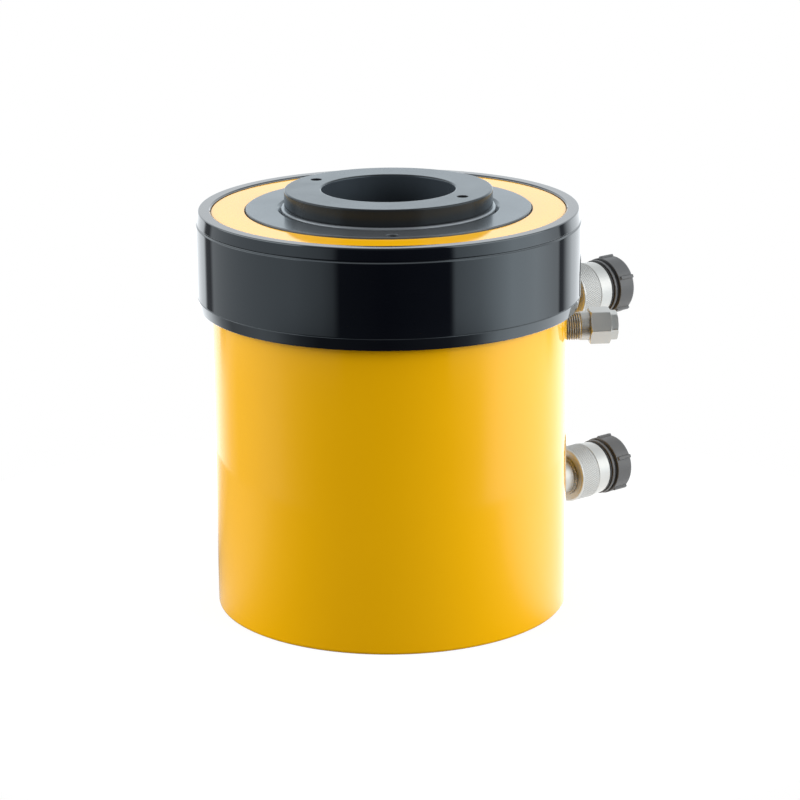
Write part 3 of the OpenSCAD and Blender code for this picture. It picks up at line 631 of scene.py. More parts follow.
def make_body():
    """Barrel: outside wall, collar with its thread, gland's counterbore, bore, floor and lip, then its
    holes."""
    collar_r = ring.inner - RUN_FIT
    mouth_r = gland.outer + SEAT_FIT
    bore_r = plunger.outer + RUN_FIT
    socket_r = tube.outer + SEAT_FIT
    mouth_floor = gland.beyond(gland.outer)[0]
    seal = Reach(UPRIGHT, "tube_o_ring")
    seal_low, seal_high = stacked(seal, Reach(UPRIGHT, "tube_backup_ring"))
    outline = rounded([
        (body.inner, 0, 0.6 * mm), (body.outer, 0, 1.8 * mm), (body.outer, ring.low, 0.3 * mm),
        (collar_r, ring.low, 0.2 * mm), (collar_r, body.high, 1.1 * mm),
        (mouth_r + MOUTH_BEVEL, body.high, 0.1 * mm), (mouth_r, body.high - MOUTH_BEVEL, 0.1 * mm),
        (mouth_r, mouth_floor, 0.2 * mm), (bore_r, mouth_floor, 0.3 * mm), (bore_r, plunger.low, 0.8 * mm),
        (socket_r, plunger.low, 0.5 * mm), *groove(socket_r, seal.outer, seal_high, seal_low),
        (socket_r, tube.low, 0.2 * mm), (body.inner, tube.low, 0.5 * mm)])
    outline = fine(outline, COLLAR_PITCH / ROWS_A_PITCH, ring.low, body.high, inside=collar_r - SAME_WALL)
    thread_top = body.high - COLLAR_PLAIN_TOP
    collar_thread = outside_thread(COLLAR_PITCH, COLLAR_THREAD_DEPTH, collar_r,
                                   ring.low + COLLAR_PLAIN_FOOT, thread_top)
    skin, below_seat, paint_edge = 0.2 * mm, 1 * mm, 0.1 * mm

    def bare(radius, station):
        on_collar = (radius > collar_r - skin) & (station > ring.low) & (station < thread_top)
        below_mouth = (station > tube.low - below_seat) & (station < body.high - paint_edge)
        return on_collar | (below_mouth & (radius < mouth_r + MOUTH_BEVEL))

    piece = turned("barrel_shell", UPRIGHT, outline, BARREL_COLUMNS, collar_thread, bare)
    nipple = Reach(PORTS["upper"], "upper_port_nipple")
    ports = [Axis(axis.start + body.outer * axis.along, axis.along, axis.zero)
             for axis in (*PORTS.values(), RELIEF)]
    port_depth, way_depth = body.outer - nipple.low, body.outer - bore_r + BREAK_THROUGH
    drill(piece, ports, drill_outline(nipple.outer + SEAT_FIT, port_depth, sink=0.9 * mm, over=4 * mm))
    drill(piece, ports, drill_outline(nipple.inner, way_depth, sink=0.1 * mm, over=1 * mm))
    bolts = mount("base_bolts")["dims"]
    base = around_face(bolts["pcd_mm"] / 2 * mm, bolts["count"], BASE_HOLE_TURN, 0, -1)
    drill(piece, base, drill_outline(bolts["hole_r_mm"] * mm, BASE_HOLE_DEPTH, sink=0.8 * mm, over=2 * mm))
    place(piece, "cylinder_body", UPRIGHT, THREAD_STEEL)


def make_collar_ring():
    """Ring: tapered bands at both ends, a groove under the upper one, a scribed line over the lower one,
    and a thread inside."""
    band, taper = 7 * mm, 1.4 * mm
    groove_w, groove_depth, line, lead_in = 1.6 * mm, 0.9 * mm, 0.35 * mm, 0.8 * mm
    plain_foot, plain_top, skin = 1 * mm, 2 * mm, 0.3 * mm
    split = ring.high - band
    outline = rounded([
        (ring.inner, ring.low, 0.5 * mm), (ring.outer - taper, ring.low, 0.7 * mm),
        (ring.outer, ring.low + band, 0.1 * mm), (ring.outer - line, ring.low + band + line, 0.1 * mm),
        (ring.outer, ring.low + band + 2 * line, 0.1 * mm), (ring.outer, split - groove_w, 0.35 * mm),
        (ring.outer - groove_depth, split - groove_w / 2, 0.3 * mm),
        (ring.outer - taper / 3, split, 0.35 * mm), (ring.outer - taper, ring.high, 0.8 * mm),
        (ring.inner + lead_in, ring.high, 0.3 * mm), (ring.inner, ring.high - lead_in, 0.3 * mm)])
    outline = fine_wall(outline, COLLAR_PITCH / ROWS_A_PITCH, ring.inner, ring.low, ring.high)

    def inner_thread(radius, angle, station):
        along = fade(station, ring.low + plain_foot, ring.high - plain_top, COLLAR_PITCH)
        cut = COLLAR_THREAD_DEPTH * along * (1 - thread_cut(angle, station, COLLAR_PITCH))
        return radius + np.where(radius < ring.inner + SAME_WALL, cut, 0)

    def bare(radius, station):
        return radius < ring.inner + skin

    piece = turned("thread_protector_ring", UPRIGHT, outline, BARREL_COLUMNS, inner_thread, bare)
    place(piece, "collar_ring", UPRIGHT, THREAD_STEEL)


def make_centre_tube():
    """Centre tube: a plain tube with bevelled mouths."""
    edge = 1 * mm
    outline = rounded([(tube.inner, tube.low, edge), (tube.outer, tube.low, 0.3 * mm),
                       (tube.outer, tube.high, edge), (tube.inner, tube.high, edge)])
    piece = turned("centre_hole_tube", UPRIGHT, outline, TUBE_COLUMNS)
    place(piece, "centre_tube", UPRIGHT)


# Gland, plunger and saddle

ROD_COLUMNS = 256
PIN_SINK = 0.35 * mm
GLAND_PIN_R, GLAND_PIN_DEPTH, GLAND_PIN_RIM = 3.5 * mm, 9 * mm, 2 * mm
GLAND_PIN_TURN = math.radians(-86)
SADDLE_PIN_R, SADDLE_PIN_DEPTH = 3.25 * mm, 8 * mm
SADDLE_PIN_TURN = math.radians(-29)
PLUNGER_RIM = 1.1 * mm
SADDLE_PITCH = inch / 12
SADDLE_THREAD_DEPTH = 0.8 * mm


def make_gland():
    """Gland nut: skirt, sealed pilot and thread outside; grooves for guides, seal and wiper inside."""
    seal, rod_seal = Reach(UPRIGHT, "gland_o_ring"), Reach(UPRIGHT, "rod_seal")
    wiper, guides = Reach(UPRIGHT, "rod_wiper"), Reach(UPRIGHT, "gland_guide_bands")
    seal_low, seal_high = stacked(seal, Reach(UPRIGHT, "gland_backup_ring"))
    rod_low, rod_high = stacked(rod_seal, Reach(UPRIGHT, "rod_backup_ring"))
    mouth_floor = gland.beyond(gland.outer)[0]
    pilot_r = plunger.outer + RUN_FIT - SEAT_FIT
    pilot_floor = gland.beyond(pilot_r)[0]
    skirt_r = gland.within(gland.low, gland.low)[1]
    lead_in = 2.4 * mm
    guide_w = guides.station[guides.station < (guides.low + guides.high) / 2].max() - guides.low
    outline = rounded([
        (gland.inner, gland.low, 0.5 * mm), (skirt_r, gland.low, 0.8 * mm),
        (skirt_r, pilot_floor, 0.5 * mm), (pilot_r, pilot_floor, 0.6 * mm),
        *groove(pilot_r, seal.inner, seal_low, seal_high),
        (pilot_r, mouth_floor, 0.1 * mm), (gland.outer, mouth_floor, 0.3 * mm),
        (gland.outer, gland.high, 0.7 * mm), (gland.inner + lead_in, gland.high, 0.5 * mm),
        (gland.inner, gland.high - lead_in, 0.3 * mm),
        *groove(gland.inner, wiper.outer, wiper.high, wiper.low),
        *groove(gland.inner, rod_seal.outer, rod_high, rod_low),
        *groove(gland.inner, guides.outer, guides.high, guides.high - guide_w),
        *groove(gland.inner, guides.outer, guides.low + guide_w, guides.low)])
    piece = turned("gland_stop_ring", UPRIGHT, outline, ROD_COLUMNS)
    circle_r = gland.outer - GLAND_PIN_RIM - GLAND_PIN_R
    holes = around_face(circle_r, 2, GLAND_PIN_TURN, gland.high, 1)
    drill(piece, holes, drill_outline(GLAND_PIN_R, GLAND_PIN_DEPTH, PIN_SINK, over=1 * mm))
    place(piece, "gland_nut", UPRIGHT)


def make_plunger():
    """Plunger: piston head with its relief and grooves, chromed rod whose top rim takes dark oxide as painted
    shade for the gap under the saddle, socket for the saddle's spigot."""
    guide, seal = Reach(UPRIGHT, "piston_guide_band"), Reach(UPRIGHT, "piston_seal")
    tube_guide, tube_seal = Reach(UPRIGHT, "tube_guide_band"), Reach(UPRIGHT, "tube_seal")
    head_low, head_top = plunger.beyond(plunger.outer)
    relief_r = plunger.within(plunger.low, plunger.low)[1]
    rod_r = gland.inner - RUN_FIT
    socket_r = saddle.within(saddle.low, saddle.low)[1] + SEAT_FIT
    outline = rounded([
        (plunger.inner, plunger.low, 0.6 * mm), (relief_r, plunger.low, 0.8 * mm),
        (relief_r, head_low, 0.3 * mm), (plunger.outer, head_low, 0.5 * mm),
        *groove(plunger.outer, guide.inner, guide.low, guide.high),
        *groove(plunger.outer, seal.inner, seal.low, seal.high), (plunger.outer, head_top, 0.8 * mm),
        (rod_r, head_top, 1.2 * mm), (rod_r, plunger.high, PLUNGER_RIM), (socket_r, plunger.high, 0.4 * mm),
        (socket_r, tube.high, 0.5 * mm), (plunger.inner, tube.high, 0.8 * mm),
        *groove(plunger.inner, tube_seal.outer, tube_seal.high, tube_seal.low),
        *groove(plunger.inner, tube_guide.outer, tube_guide.high, tube_guide.low)])

    # Painted shade: the rod's top rim takes dark oxide in place of chrome.
    def rim(radius, station):
        return station > plunger.high - PLUNGER_RIM

    piece = turned("plunger_rod", UPRIGHT, outline, ROD_COLUMNS, finish_of=rim)
    place(piece, "plunger", UPRIGHT, RIM_SHADE_BLACK)


def make_saddle():
    """Saddle: a thick ring on a threaded spigot, with two spanner holes in its face."""
    spigot_r = saddle.within(saddle.low, saddle.low)[1]
    seat = plunger.high
    outline = rounded([
        (saddle.inner, saddle.low, 0.6 * mm), (spigot_r, saddle.low, 1.0 * mm), (spigot_r, seat, 0.4 * mm),
        (saddle.outer, seat, 0.7 * mm), (saddle.outer, saddle.high, 1.0 * mm),
        (saddle.inner, saddle.high, 1.2 * mm)])
    outline = fine_wall(outline, SADDLE_PITCH / ROWS_A_PITCH, spigot_r, saddle.low, seat)

    plain_foot, plain_top, skin = 0.6 * mm, 1.5 * mm, 0.1 * mm
    spigot_thread = outside_thread(SADDLE_PITCH, SADDLE_THREAD_DEPTH, spigot_r,
                                   saddle.low + plain_foot, seat - plain_top)

    def bore(radius, station):
        return radius < saddle.inner + skin

    piece = turned("saddle_ring", UPRIGHT, outline, ROD_COLUMNS, spigot_thread, bore)
    holes = around_face((saddle.inner + saddle.outer) / 2, 2, SADDLE_PIN_TURN, saddle.high, 1)
    drill(piece, holes, drill_outline(SADDLE_PIN_R, SADDLE_PIN_DEPTH, PIN_SINK, over=1 * mm))
    # The bore takes the paler black as painted light; the face takes the saddle's own black.
    place(piece, "saddle", UPRIGHT, LIT_BORE_BLACK, first=SADDLE_BLACK)


# Couplers and dust caps

PIPE_PITCH = inch / 18
PIPE_THREAD_DEPTH = 0.75 * mm
KNURL_TEETH = 84
KNURL_LEAD = 1.9 * mm
KNURL_DEPTH = 0.42 * mm
KNURL_STEP = 0.19 * mm
KNURL_REAR, KNURL_FRONT, KNURL_FADE = 1.4 * mm, 0.3 * mm, 0.5 * mm
COLUMNS_A_TOOTH = 6
NIPPLE_COLUMNS = 96
COUPLER_COLUMNS = 128
NIPPLE_PLAIN = 3.2 * mm
COLLAR_NOSE = 9.5 * mm
COLLAR_REAR = 4 * mm
COLLAR_TAPER = 0.9 * mm
COLLAR_WALL = 2.2 * mm
HUB_BEVEL, HUB_SEAT, BALL_ROOM = 1 * mm, 4 * mm, 0.7 * mm


def make_nipple(side, axis):
    """Pipe nipple: threaded at both ends, plain between them."""
    size = Reach(axis, f"{side}_port_nipple")
    hub = Reach(axis, f"{side}_coupler_body")
    edge = 0.7 * mm
    outline = rounded([(size.inner, size.low, 0.3 * mm), (size.outer, size.low, edge),
                       (size.outer, size.high, edge), (size.inner, size.high, 0.3 * mm)])
    outline = fine_wall(outline, PIPE_PITCH / ROWS_A_PITCH, size.outer, size.low, size.high)
    plain = (body.outer + hub.low) / 2

    def pipe_thread(radius, angle, station):
        in_body = fade(station, size.low, plain - NIPPLE_PLAIN / 2, PIPE_PITCH)
        in_hub = fade(station, plain + NIPPLE_PLAIN / 2, size.high, PIPE_PITCH)
        deep = PIPE_THREAD_DEPTH * (in_body + in_hub) * thread_cut(angle, station, PIPE_PITCH)
        return radius - np.where(radius > size.outer - SAME_WALL, deep, 0)

    piece = turned(f"{side}_nipple", axis, outline, NIPPLE_COLUMNS, pipe_thread)
    place(piece, f"{side}_port_nipple", axis)


def make_coupler_body(side, axis):
    """Coupler body: socket for the nipple, groove for the snap ring, flange under the collar, nose with
    the ball's seat."""
    size = Reach(axis, f"{side}_coupler_body")
    nipple, snap = Reach(axis, f"{side}_port_nipple"), Reach(axis, f"{side}_collar_snap_ring")
    ball = Reach(axis, f"{side}_check_ball")
    socket_r = nipple.outer + SEAT_FIT
    hub_r = size.within(size.low, snap.low)[1]
    flange_low, flange_high = size.beyond(size.outer)
    nose_r = size.within(size.high - HUB_BEVEL, size.high - HUB_BEVEL)[1]
    seat_r, chamber_r = size.inner, ball.outer + BALL_ROOM
    seat_at = size.high - HUB_SEAT
    outline = rounded([
        (socket_r, size.low, 0.6 * mm), (hub_r, size.low, 1.2 * mm),
        *groove(hub_r, snap.inner, snap.low, snap.high), (hub_r, flange_low, 0.3 * mm),
        (size.outer, flange_low, 0.4 * mm), (size.outer, flange_high, 0.4 * mm),
        (nose_r, flange_high, 0.5 * mm), (nose_r, size.high, 0.9 * mm), (seat_r, size.high, 0.4 * mm),
        (seat_r, seat_at, 0.3 * mm), (chamber_r, seat_at, 0.4 * mm), (chamber_r, nipple.high, 0.3 * mm),
        (socket_r, nipple.high, 0.2 * mm)])
    piece = turned(f"{side}_coupler_hub", axis, outline, COUPLER_COLUMNS)
    place(piece, f"{side}_coupler_body", axis)


def make_collar(side, axis):
    """Knurled collar: a diamond knurl over its rear, a smooth nose that tapers in, a deep cavity."""
    size = Reach(axis, f"{side}_coupler_collar")
    nose = size.high - COLLAR_NOSE
    front_r = size.outer - COLLAR_TAPER
    cavity_r = front_r - COLLAR_WALL
    outline = rounded([
        (size.inner, size.low, 0.5 * mm), (size.outer, size.low, 1.2 * mm), (size.outer, nose, 0.5 * mm),
        (front_r, size.high, 0.7 * mm), (cavity_r, size.high, 0.4 * mm),
        (cavity_r, size.low + COLLAR_REAR, 0.5 * mm), (size.inner, size.low + COLLAR_REAR, 0.4 * mm)])
    outline = fine_wall(outline, KNURL_STEP, size.outer, size.low, nose)

    def knurl(radius, angle, station):
        deep = KNURL_DEPTH * fade(station, size.low + KNURL_REAR, nose - KNURL_FRONT, KNURL_FADE)
        cut = deep * knurl_cut(angle, station, KNURL_TEETH, KNURL_LEAD)
        return radius - np.where(radius > size.outer - SAME_WALL, cut, 0)

    piece = turned(f"{side}_knurled_collar", axis, outline, KNURL_TEETH * COLUMNS_A_TOOTH, knurl)
    place(piece, f"{side}_coupler_collar", axis)


def make_gasket(side, axis):
    """Gasket: a flat ring with rounded edges."""
    size = Reach(axis, f"{side}_cap_gasket")
    edge = 0.55 * mm
    outline = rounded([(size.inner, size.low, 0.2 * mm), (size.outer, size.low, edge),
                       (size.outer, size.high, edge), (size.inner, size.high, 0.2 * mm)])
    piece = turned(f"{side}_gasket", axis, outline, COUPLER_COLUMNS)
    place(piece, f"{side}_cap_gasket", axis)


CAP_GRIP, CAP_ROUND = 12.2 * mm, 2.4 * mm
CAP_GROOVE_DEPTH, CAP_FLANGE, CAP_FLANGE_OVER = 1.6 * mm, 1.8 * mm, 0.8 * mm
CAP_RIB_H, CAP_RIB_W, CAP_RIB_SIDE, CAP_RIB_INSET = 1 * mm, 2.2 * mm, 0.5 * mm, 0.6 * mm
CAP_RIBS = 5
CAP_RIB_TURN = math.radians(28)
CAP_WALL = 3 * mm
CAP_LIP, CAP_SLOPE, CAP_DISH = 4.2 * mm, 0.6 * mm, 0.5 * mm
CAP_STEP = 0.3 * mm
CAP_COLUMNS = 480
CAP_PITCH, CAP_THREAD_DEPTH = 2 * mm, 0.7 * mm
CAP_PLAIN_TIP, CAP_PLAIN_TOP = 0.6 * mm, 1 * mm


def make_dust_cap(side, axis):
    """Dust cap: hollow threaded plug, flange, groove, and a round-edged grip with ribs along it."""
    size = Reach(axis, f"{side}_dust_cap")
    collar = Reach(axis, f"{side}_coupler_collar")
    gasket = Reach(axis, f"{side}_cap_gasket")
    grip_r = size.outer - CAP_RIB_H
    grip_low = size.high - CAP_GRIP
    lip_r = grip_r - CAP_LIP
    flange_low = gasket.high
    flange_r = gasket.outer + CAP_FLANGE_OVER
    plug_r = gasket.inner - SAME_WALL
    groove_r = flange_r - CAP_GROOVE_DEPTH
    flange_top = flange_low + CAP_FLANGE
    hollow_r = plug_r - CAP_WALL
    ceiling = size.high - CAP_WALL
    middle = 0.6 * mm
    outline = rounded([
        (middle, ceiling, 0), (hollow_r, ceiling, 0.8 * mm), (hollow_r, size.low, 0.4 * mm),
        (plug_r, size.low, 0.8 * mm), (plug_r, flange_low, 0.15 * mm), (flange_r, flange_low, 0.5 * mm),
        (flange_r, flange_top, 0.4 * mm), (groove_r, flange_top, 0.4 * mm), (groove_r, grip_low, 0.4 * mm),
        (grip_r, grip_low, 0.5 * mm), (grip_r, size.high, CAP_ROUND),
        (lip_r, size.high, 0.5 * mm), (lip_r - CAP_SLOPE, size.high - CAP_DISH, 0.5 * mm),
        (middle, size.high - CAP_DISH, 0)], closed=False)
    outline = fine_wall(outline, CAP_STEP, plug_r, size.low, flange_low)
    outline = fine(outline, CAP_STEP, grip_low, size.high, inside=grip_r - CAP_ROUND)
    plug_thread = outside_thread(CAP_PITCH, CAP_THREAD_DEPTH, plug_r,
                                 size.low + CAP_PLAIN_TIP, collar.high - CAP_PLAIN_TOP)

    def ribs_and_thread(radius, angle, station):
        step = math.tau / CAP_RIBS
        aside = abs((angle - CAP_RIB_TURN + step / 2) % step - step / 2) * grip_r
        across = smooth((CAP_RIB_W / 2 + CAP_RIB_SIDE / 2 - aside) / CAP_RIB_SIDE)
        start, end = grip_low + CAP_RIB_INSET, size.high - CAP_RIB_INSET
        crest = grip_r + CAP_RIB_H * smooth((station - start) / CAP_RIB_H)
        along = (station > start) & (station < end) & (radius > grip_r - CAP_ROUND)
        raised = np.where(along, across * np.maximum(crest - radius, 0), 0)
        return plug_thread(radius, angle, station) + raised

    piece = turned(f"{side}_ribbed_cap", axis, outline, CAP_COLUMNS, ribs_and_thread, capped=True)
    place(piece, f"{side}_dust_cap", axis)


# Relief valve

HEX_TURN = math.radians(34)
HEX_BEVEL = 1.3 * mm
ADJUSTER_BEVEL = 0.9 * mm
HEX_EDGE = 0.15 * mm
HEX_COLUMNS = 360
HEX_STEP = 0.3 * mm
HEX_SHARP = math.radians(20)
HEX_OVER = 0.5 * mm
SHANK_FAR, SHANK_NEAR = 8 * mm, 1 * mm
VENT_R = 1.25 * mm
ADJUSTER_PITCH, ADJUSTER_THREAD_DEPTH = 1 * mm, 0.5 * mm


def hex_corners(corner_r, inner, low, high, bevel):
    """Corners of the outline that holds a bevelled hexagon: faces at both ends, and the bevels' cones."""
    return [(inner, low, 0), (corner_r - bevel, low, 0), (corner_r + bevel, low + bevel, 0),
            (corner_r + bevel, high - bevel, 0), (corner_r - bevel, high, 0), (inner, high, 0)]


def hex_clip(radius, angle, station, corner_r, inner, low, high, bevel):
    """The outline's share of the way from the inner radius to the bevel's cone is kept, and runs instead
    to the least of the cone, the hexagon, and a circle that blunts the hexagon's corners."""
    cone = np.minimum(corner_r - bevel + 2 * np.minimum(station - low, high - station), corner_r + bevel)
    edge = np.minimum(np.minimum(hexagon(angle, corner_r, HEX_TURN), corner_r - HEX_EDGE), cone)
    share = np.clip((radius - inner) / (cone - inner), 0, 1)
    near = 0.002 * mm
    chosen = (station > low - near) & (station < high + near) & (radius > inner)
    return np.where(chosen, inner + share * (edge - inner), radius)


def threaded_hexagon(thread, span):
    """A shape that cuts a thread, then clips a span to the hexagon."""
    def shape(radius, angle, station):
        return hex_clip(thread(radius, angle, station), angle, station, *span)

    return shape


def make_relief_body():
    """Relief valve: pipe thread, plain shank with a vent, bevelled hexagon, and the spring chamber
    inside."""
    size, head = Reach(RELIEF, "relief_valve_body"), Reach(RELIEF, "relief_adjuster")
    pipe_r = Reach(PORTS["upper"], "upper_port_nipple").outer
    hex_low, hex_high = size.beyond(pipe_r + HEX_OVER)
    shank_r = size.within(hex_low - SHANK_FAR, hex_low - SHANK_NEAR)[1]
    shank_low = size.beyond(shank_r)[0]
    chamber_r = size.within(head.low, head.low)[0]
    seat = size.at(chamber_r)[0]
    thread_r = head.within(head.low, head.low)[1] + SEAT_FIT
    span = (size.outer, shank_r, hex_low, hex_high, HEX_BEVEL)
    outline = rounded([
        (size.inner, size.low, 0.2 * mm), (pipe_r, size.low, 0.8 * mm), (pipe_r, shank_low, 0.1 * mm),
        (shank_r, shank_low, 0.3 * mm), *hex_corners(*span)[:-1], (thread_r, hex_high, 0.3 * mm),
        (thread_r, head.low, 0.1 * mm), (chamber_r, head.low, 0.2 * mm), (chamber_r, seat, 0.2 * mm),
        (size.inner, seat, 0.2 * mm)])
    outline = fine(outline, PIPE_PITCH / ROWS_A_PITCH, size.low, shank_low, inside=pipe_r - SAME_WALL)
    outline = fine(outline, HEX_STEP, hex_low, hex_high, inside=shank_r)

    thread = outside_thread(PIPE_PITCH, PIPE_THREAD_DEPTH, pipe_r, size.low, shank_low)
    piece = turned("relief_valve_hexagon", RELIEF, outline, HEX_COLUMNS, threaded_hexagon(thread, span),
                   cuts_within=shank_r)
    middle = RELIEF.start + (shank_low + hex_low) / 2 * RELIEF.along
    vent = Axis(middle + shank_r * RELIEF.zero, RELIEF.zero, RELIEF.along)
    drill(piece, [vent], drill_outline(VENT_R, shank_r - chamber_r + 1 * mm, sink=0.2 * mm, over=1 * mm))
    piece.data.set_sharp_from_angle(angle=HEX_SHARP)
    place(piece, "relief_valve_body", RELIEF)


def make_relief_adjuster():
    """Adjuster: a screw in the valve's end, with a hexagon head bevelled at its outer end."""
    size = Reach(RELIEF, "relief_adjuster")
    thread_r = size.within(size.low, size.low)[1]
    head_low = size.beyond(thread_r + HEX_OVER)[0]
    middle = 0.4 * mm
    span = (size.outer, thread_r, head_low, size.high, ADJUSTER_BEVEL)
    outline = rounded([(middle, size.low, 0), (thread_r, size.low, 0.5 * mm), *hex_corners(*span),
                       (middle, size.high, 0)], closed=False)
    outline = fine(outline, HEX_STEP, head_low, size.high, inside=thread_r)
    outline = fine_wall(outline, ADJUSTER_PITCH / ROWS_A_PITCH, thread_r, size.low, head_low)

    thread = outside_thread(ADJUSTER_PITCH, ADJUSTER_THREAD_DEPTH, thread_r, size.low, head_low)
    piece = turned("relief_adjuster_screw", RELIEF, outline, HEX_COLUMNS, threaded_hexagon(thread, span),
                   capped=True, cuts_within=thread_r + SEAT_FIT)
    piece.data.set_sharp_from_angle(angle=HEX_SHARP)
    place(piece, "relief_adjuster", RELIEF)


# Springs: each a round wire wound on a helix

SPRING_TURNS = 6
ROWS_A_TURN = 32
WIRE_COLUMNS = 14


def make_spring(node, axis):
    """A round wire wound on a helix: at a share of its run, the wire's middle lies at the mean radius, that
    share of all the turns round and the same share along, and its wall is a circle across it."""
    size = Reach(axis, node)
    wire_r = (size.outer - size.inner) / 2
    rise = size.high - size.low - 2 * wire_r
    share = np.linspace(0, 1, SPRING_TURNS * ROWS_A_TURN + 1)[:, None]
    around = -math.tau * np.arange(WIRE_COLUMNS) / WIRE_COLUMNS
    radius = size.inner + wire_r * (1 + np.cos(around)) + 0 * share
    station = size.low + wire_r * (1 + np.sin(around)) + rise * share
    points = axis.place(radius, math.tau * SPRING_TURNS * share + 0 * radius, station)
    index = np.arange(radius.size).reshape(radius.shape)
    right = np.roll(index, -1, axis=1)
    walls = np.stack([index[:-1], right[:-1], right[1:], index[1:]], axis=-1).reshape(-1, 4).tolist()
    ends = [index[0, ::-1].tolist(), index[-1].tolist()]
    piece = new_piece(node + "_coil", points, walls + ends)
    piece.data.set_sharp_from_angle(angle=SHARP)
    place(piece, node, axis)
    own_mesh(piece)


make_body()
make_collar_ring()
make_centre_tube()
make_gland()
make_plunger()
make_saddle()
for side_name, side_axis in PORTS.items():
    for make_piece in (make_nipple, make_coupler_body, make_collar, make_gasket, make_dust_cap):
        make_piece(side_name, side_axis)
    make_spring(f"{side_name}_check_spring", side_axis)
make_relief_body()
make_relief_adjuster()
make_spring("relief_spring", RELIEF)


# Stage: studio surround, soft boxes and floor

scene.view_settings.view_transform = "Standard"

# Brightness round the studio, by degrees from the camera's side: the floor near the part, the floor and
# walls further off, the soft boxes, and what lies over them
NEAR_STUDIO = [(-180, 1.8), (-165, 1.9), (-150, 1.9), (-140, 1.6), (-125, 0.65), (-114, 0.35),
               (-103, 0.45), (-86, 0.6), (-76, 0.55), (-66, 0.3), (-57, 0.15), (-44, 0.05),
               (0, 0.02), (42, 0.07), (55, 0.2), (62, 0.4), (69, 0.95), (76, 1.4),
               (88, 1.7), (111, 1.7), (123, 1.75), (140, 2.0), (157, 2.1), (180, 1.5)]
LOW_STUDIO = [(-180, 1.6), (-141.5, 1.6), (-137.5, 0.15), (-130.5, 0.15), (-126.5, 0.72), (-56, 0.62),
              (-38, 0.45), (-31, 0.3), (-27, 0.03), (0, 0.01), (39, 0.02), (42, 0.65), (57, 0.95),
              (80, 1.8), (100, 1.7), (118, 1.0), (123, 0.85), (125, 0.15), (129, 0.15), (135, 1.0),
              (143, 1.7), (180, 1.8)]
HIGH_STUDIO = [(-180, 1.4), (-140, 1.4), (-122, 0.7), (-105, 7.5), (-64, 7.5), (-49, 0.2),
               (36, 0.2), (51, 7.2), (92, 7.2), (112, 0.7), (132, 1.4), (180, 1.4)]
TOP_STUDIO = [(-180, 0.9), (-140, 0.9), (-122, 1.0), (-56, 1.0), (-38, 0.15), (42, 0.15),
              (58, 1.2), (118, 1.2), (138, 0.9), (180, 0.9)]
# Each layer takes over from the one below it between two heights, as sines of the elevation
STUDIO_LAYERS = [((-0.265, -0.245), LOW_STUDIO), ((0.04, 0.14), HIGH_STUDIO), ((0.42, 0.6), TOP_STUDIO)]
CEILING_SPAN = (0.93, 0.97)
BRIGHTEST = 8.0
CEILING = 0.8
MIRRORED_MOST = 2.4
STUDIO_TINT = (0.965, 1.0, 1.03)


def studio_ramp(tree, turn, stops):
    """Brightness round the studio from stops of (degrees from the camera's side, brightness)."""
    ramp = add(tree, "ValToRGB", [turn])
    elements = ramp.color_ramp.elements
    elements.remove(elements[1])
    for i, (degrees, brightness) in enumerate(stops):
        element = elements[0] if i == 0 else elements.new(degrees / 360 + 0.5)
        element.position = degrees / 360 + 0.5
        element.color = [brightness / BRIGHTEST * share for share in STUDIO_TINT] + [1]
    return ramp.outputs[0]


def studio_turn(tree, across, depth):
    """The turn round the studio as a share of a whole one, with the camera's side at one half."""
    front = add(tree, "Math", [depth, -1.0], operation="MULTIPLY").outputs[0]
    angle = add(tree, "Math", [across, front], operation="ARCTAN2").outputs[0]
    return add(tree, "Math", [angle, 1 / math.tau, 0.5], operation="MULTIPLY_ADD").outputs[0]


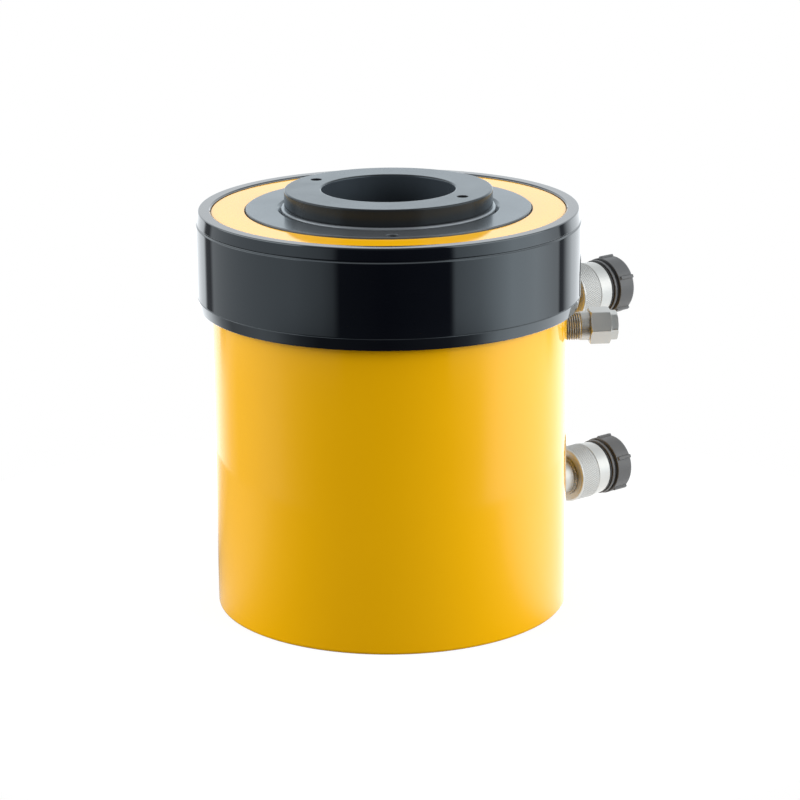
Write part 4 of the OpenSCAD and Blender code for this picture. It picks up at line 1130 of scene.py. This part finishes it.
def make_world():
    """White for the camera. For light and reflections a studio in layers, from the floor near the part up to
    the ceiling: a dark front, soft boxes left and right, a pale back. What a glossy surface mirrors is held
    to a most, as behind a veil."""
    world = bpy.data.worlds.new("studio")
    world.use_nodes = True
    tree = world.node_tree
    tree.nodes.clear()
    axis = add(tree, "SeparateXYZ", [add(tree, "TexCoord").outputs["Generated"]]).outputs
    turn = studio_turn(tree, axis["X"], axis["Y"])

    def layer(span, below, over):
        values = {"Value": axis["Z"], "From Min": span[0], "From Max": span[1]}
        return add(tree, "MixRGB", [add(tree, "MapRange", values).outputs[0], below, over]).outputs[0]

    room = studio_ramp(tree, turn, NEAR_STUDIO)
    for span, stops in STUDIO_LAYERS:
        room = layer(span, room, studio_ramp(tree, turn, stops))
    room = layer(CEILING_SPAN, room, (CEILING / BRIGHTEST,) * 3 + (1,))
    path = add(tree, "LightPath").outputs
    most = (MIRRORED_MOST / BRIGHTEST,) * 3 + (1,)
    veiled = add(tree, "MixRGB", [path["Is Glossy Ray"], room, most], blend_type="DARKEN").outputs[0]
    around = add(tree, "Background", {"Color": veiled, "Strength": BRIGHTEST})
    white = add(tree, "Background", {"Color": (1, 1, 1, 1), "Strength": 1.0})
    mix = add(tree, "MixShader", [path["Is Camera Ray"], around.outputs[0], white.outputs[0]])
    add(tree, "OutputWorld", [mix.outputs[0]])
    scene.world = world


FLOOR_R = 0.36
FLOOR_POINTS = 96
FLOOR_GAP = 0.05 * mm
FLOOR_TONE = 0.15
FLOOR_GLOW = 0.88


def make_floor():
    """Pale floor: a disc that the camera sees white apart from the shadow on it, and that shines in
    reflections as the studio does on each side."""
    around = math.tau * np.arange(FLOOR_POINTS) / FLOOR_POINTS
    rim = np.stack([FLOOR_R * np.cos(around), FLOOR_R * np.sin(around), 0 * around - FLOOR_GAP], axis=1)
    mesh = bpy.data.meshes.new("floor")
    mesh.from_pydata(rim.tolist(), [], [list(range(FLOOR_POINTS))])
    floor = bpy.data.objects.new("floor", mesh)
    scene.collection.objects.link(floor)
    paper = Finish("floor_paper", Roughness=1.0, Specular_IOR_Level=0.0)
    tree = paper.tree
    path = add(tree, "LightPath").outputs
    paper.set("Base Color", paper.blend(path["Is Glossy Ray"], grey(FLOOR_TONE), grey(0)))
    at = add(tree, "SeparateXYZ", [paper.coords]).outputs
    ring_light = studio_ramp(tree, studio_turn(tree, at["X"], at["Y"]), NEAR_STUDIO)
    mirrored = paper.math("MULTIPLY", paper.math("MULTIPLY", path["Is Glossy Ray"], BRIGHTEST), ring_light)
    seen = paper.math("MULTIPLY", path["Is Camera Ray"], FLOOR_GLOW)
    glow = add(tree, "Emission", {"Color": (1, 1, 1, 1), "Strength": paper.math("ADD", seen, mirrored)})
    both = add(tree, "AddShader", [paper.shader.outputs[0], glow.outputs[0]])
    tree.links.new(both.outputs[0], tree.nodes["Material Output"].inputs[0])
    paper.material.cycles.emission_sampling = "NONE"
    mesh.materials.append(paper.material)


make_world()
make_floor()
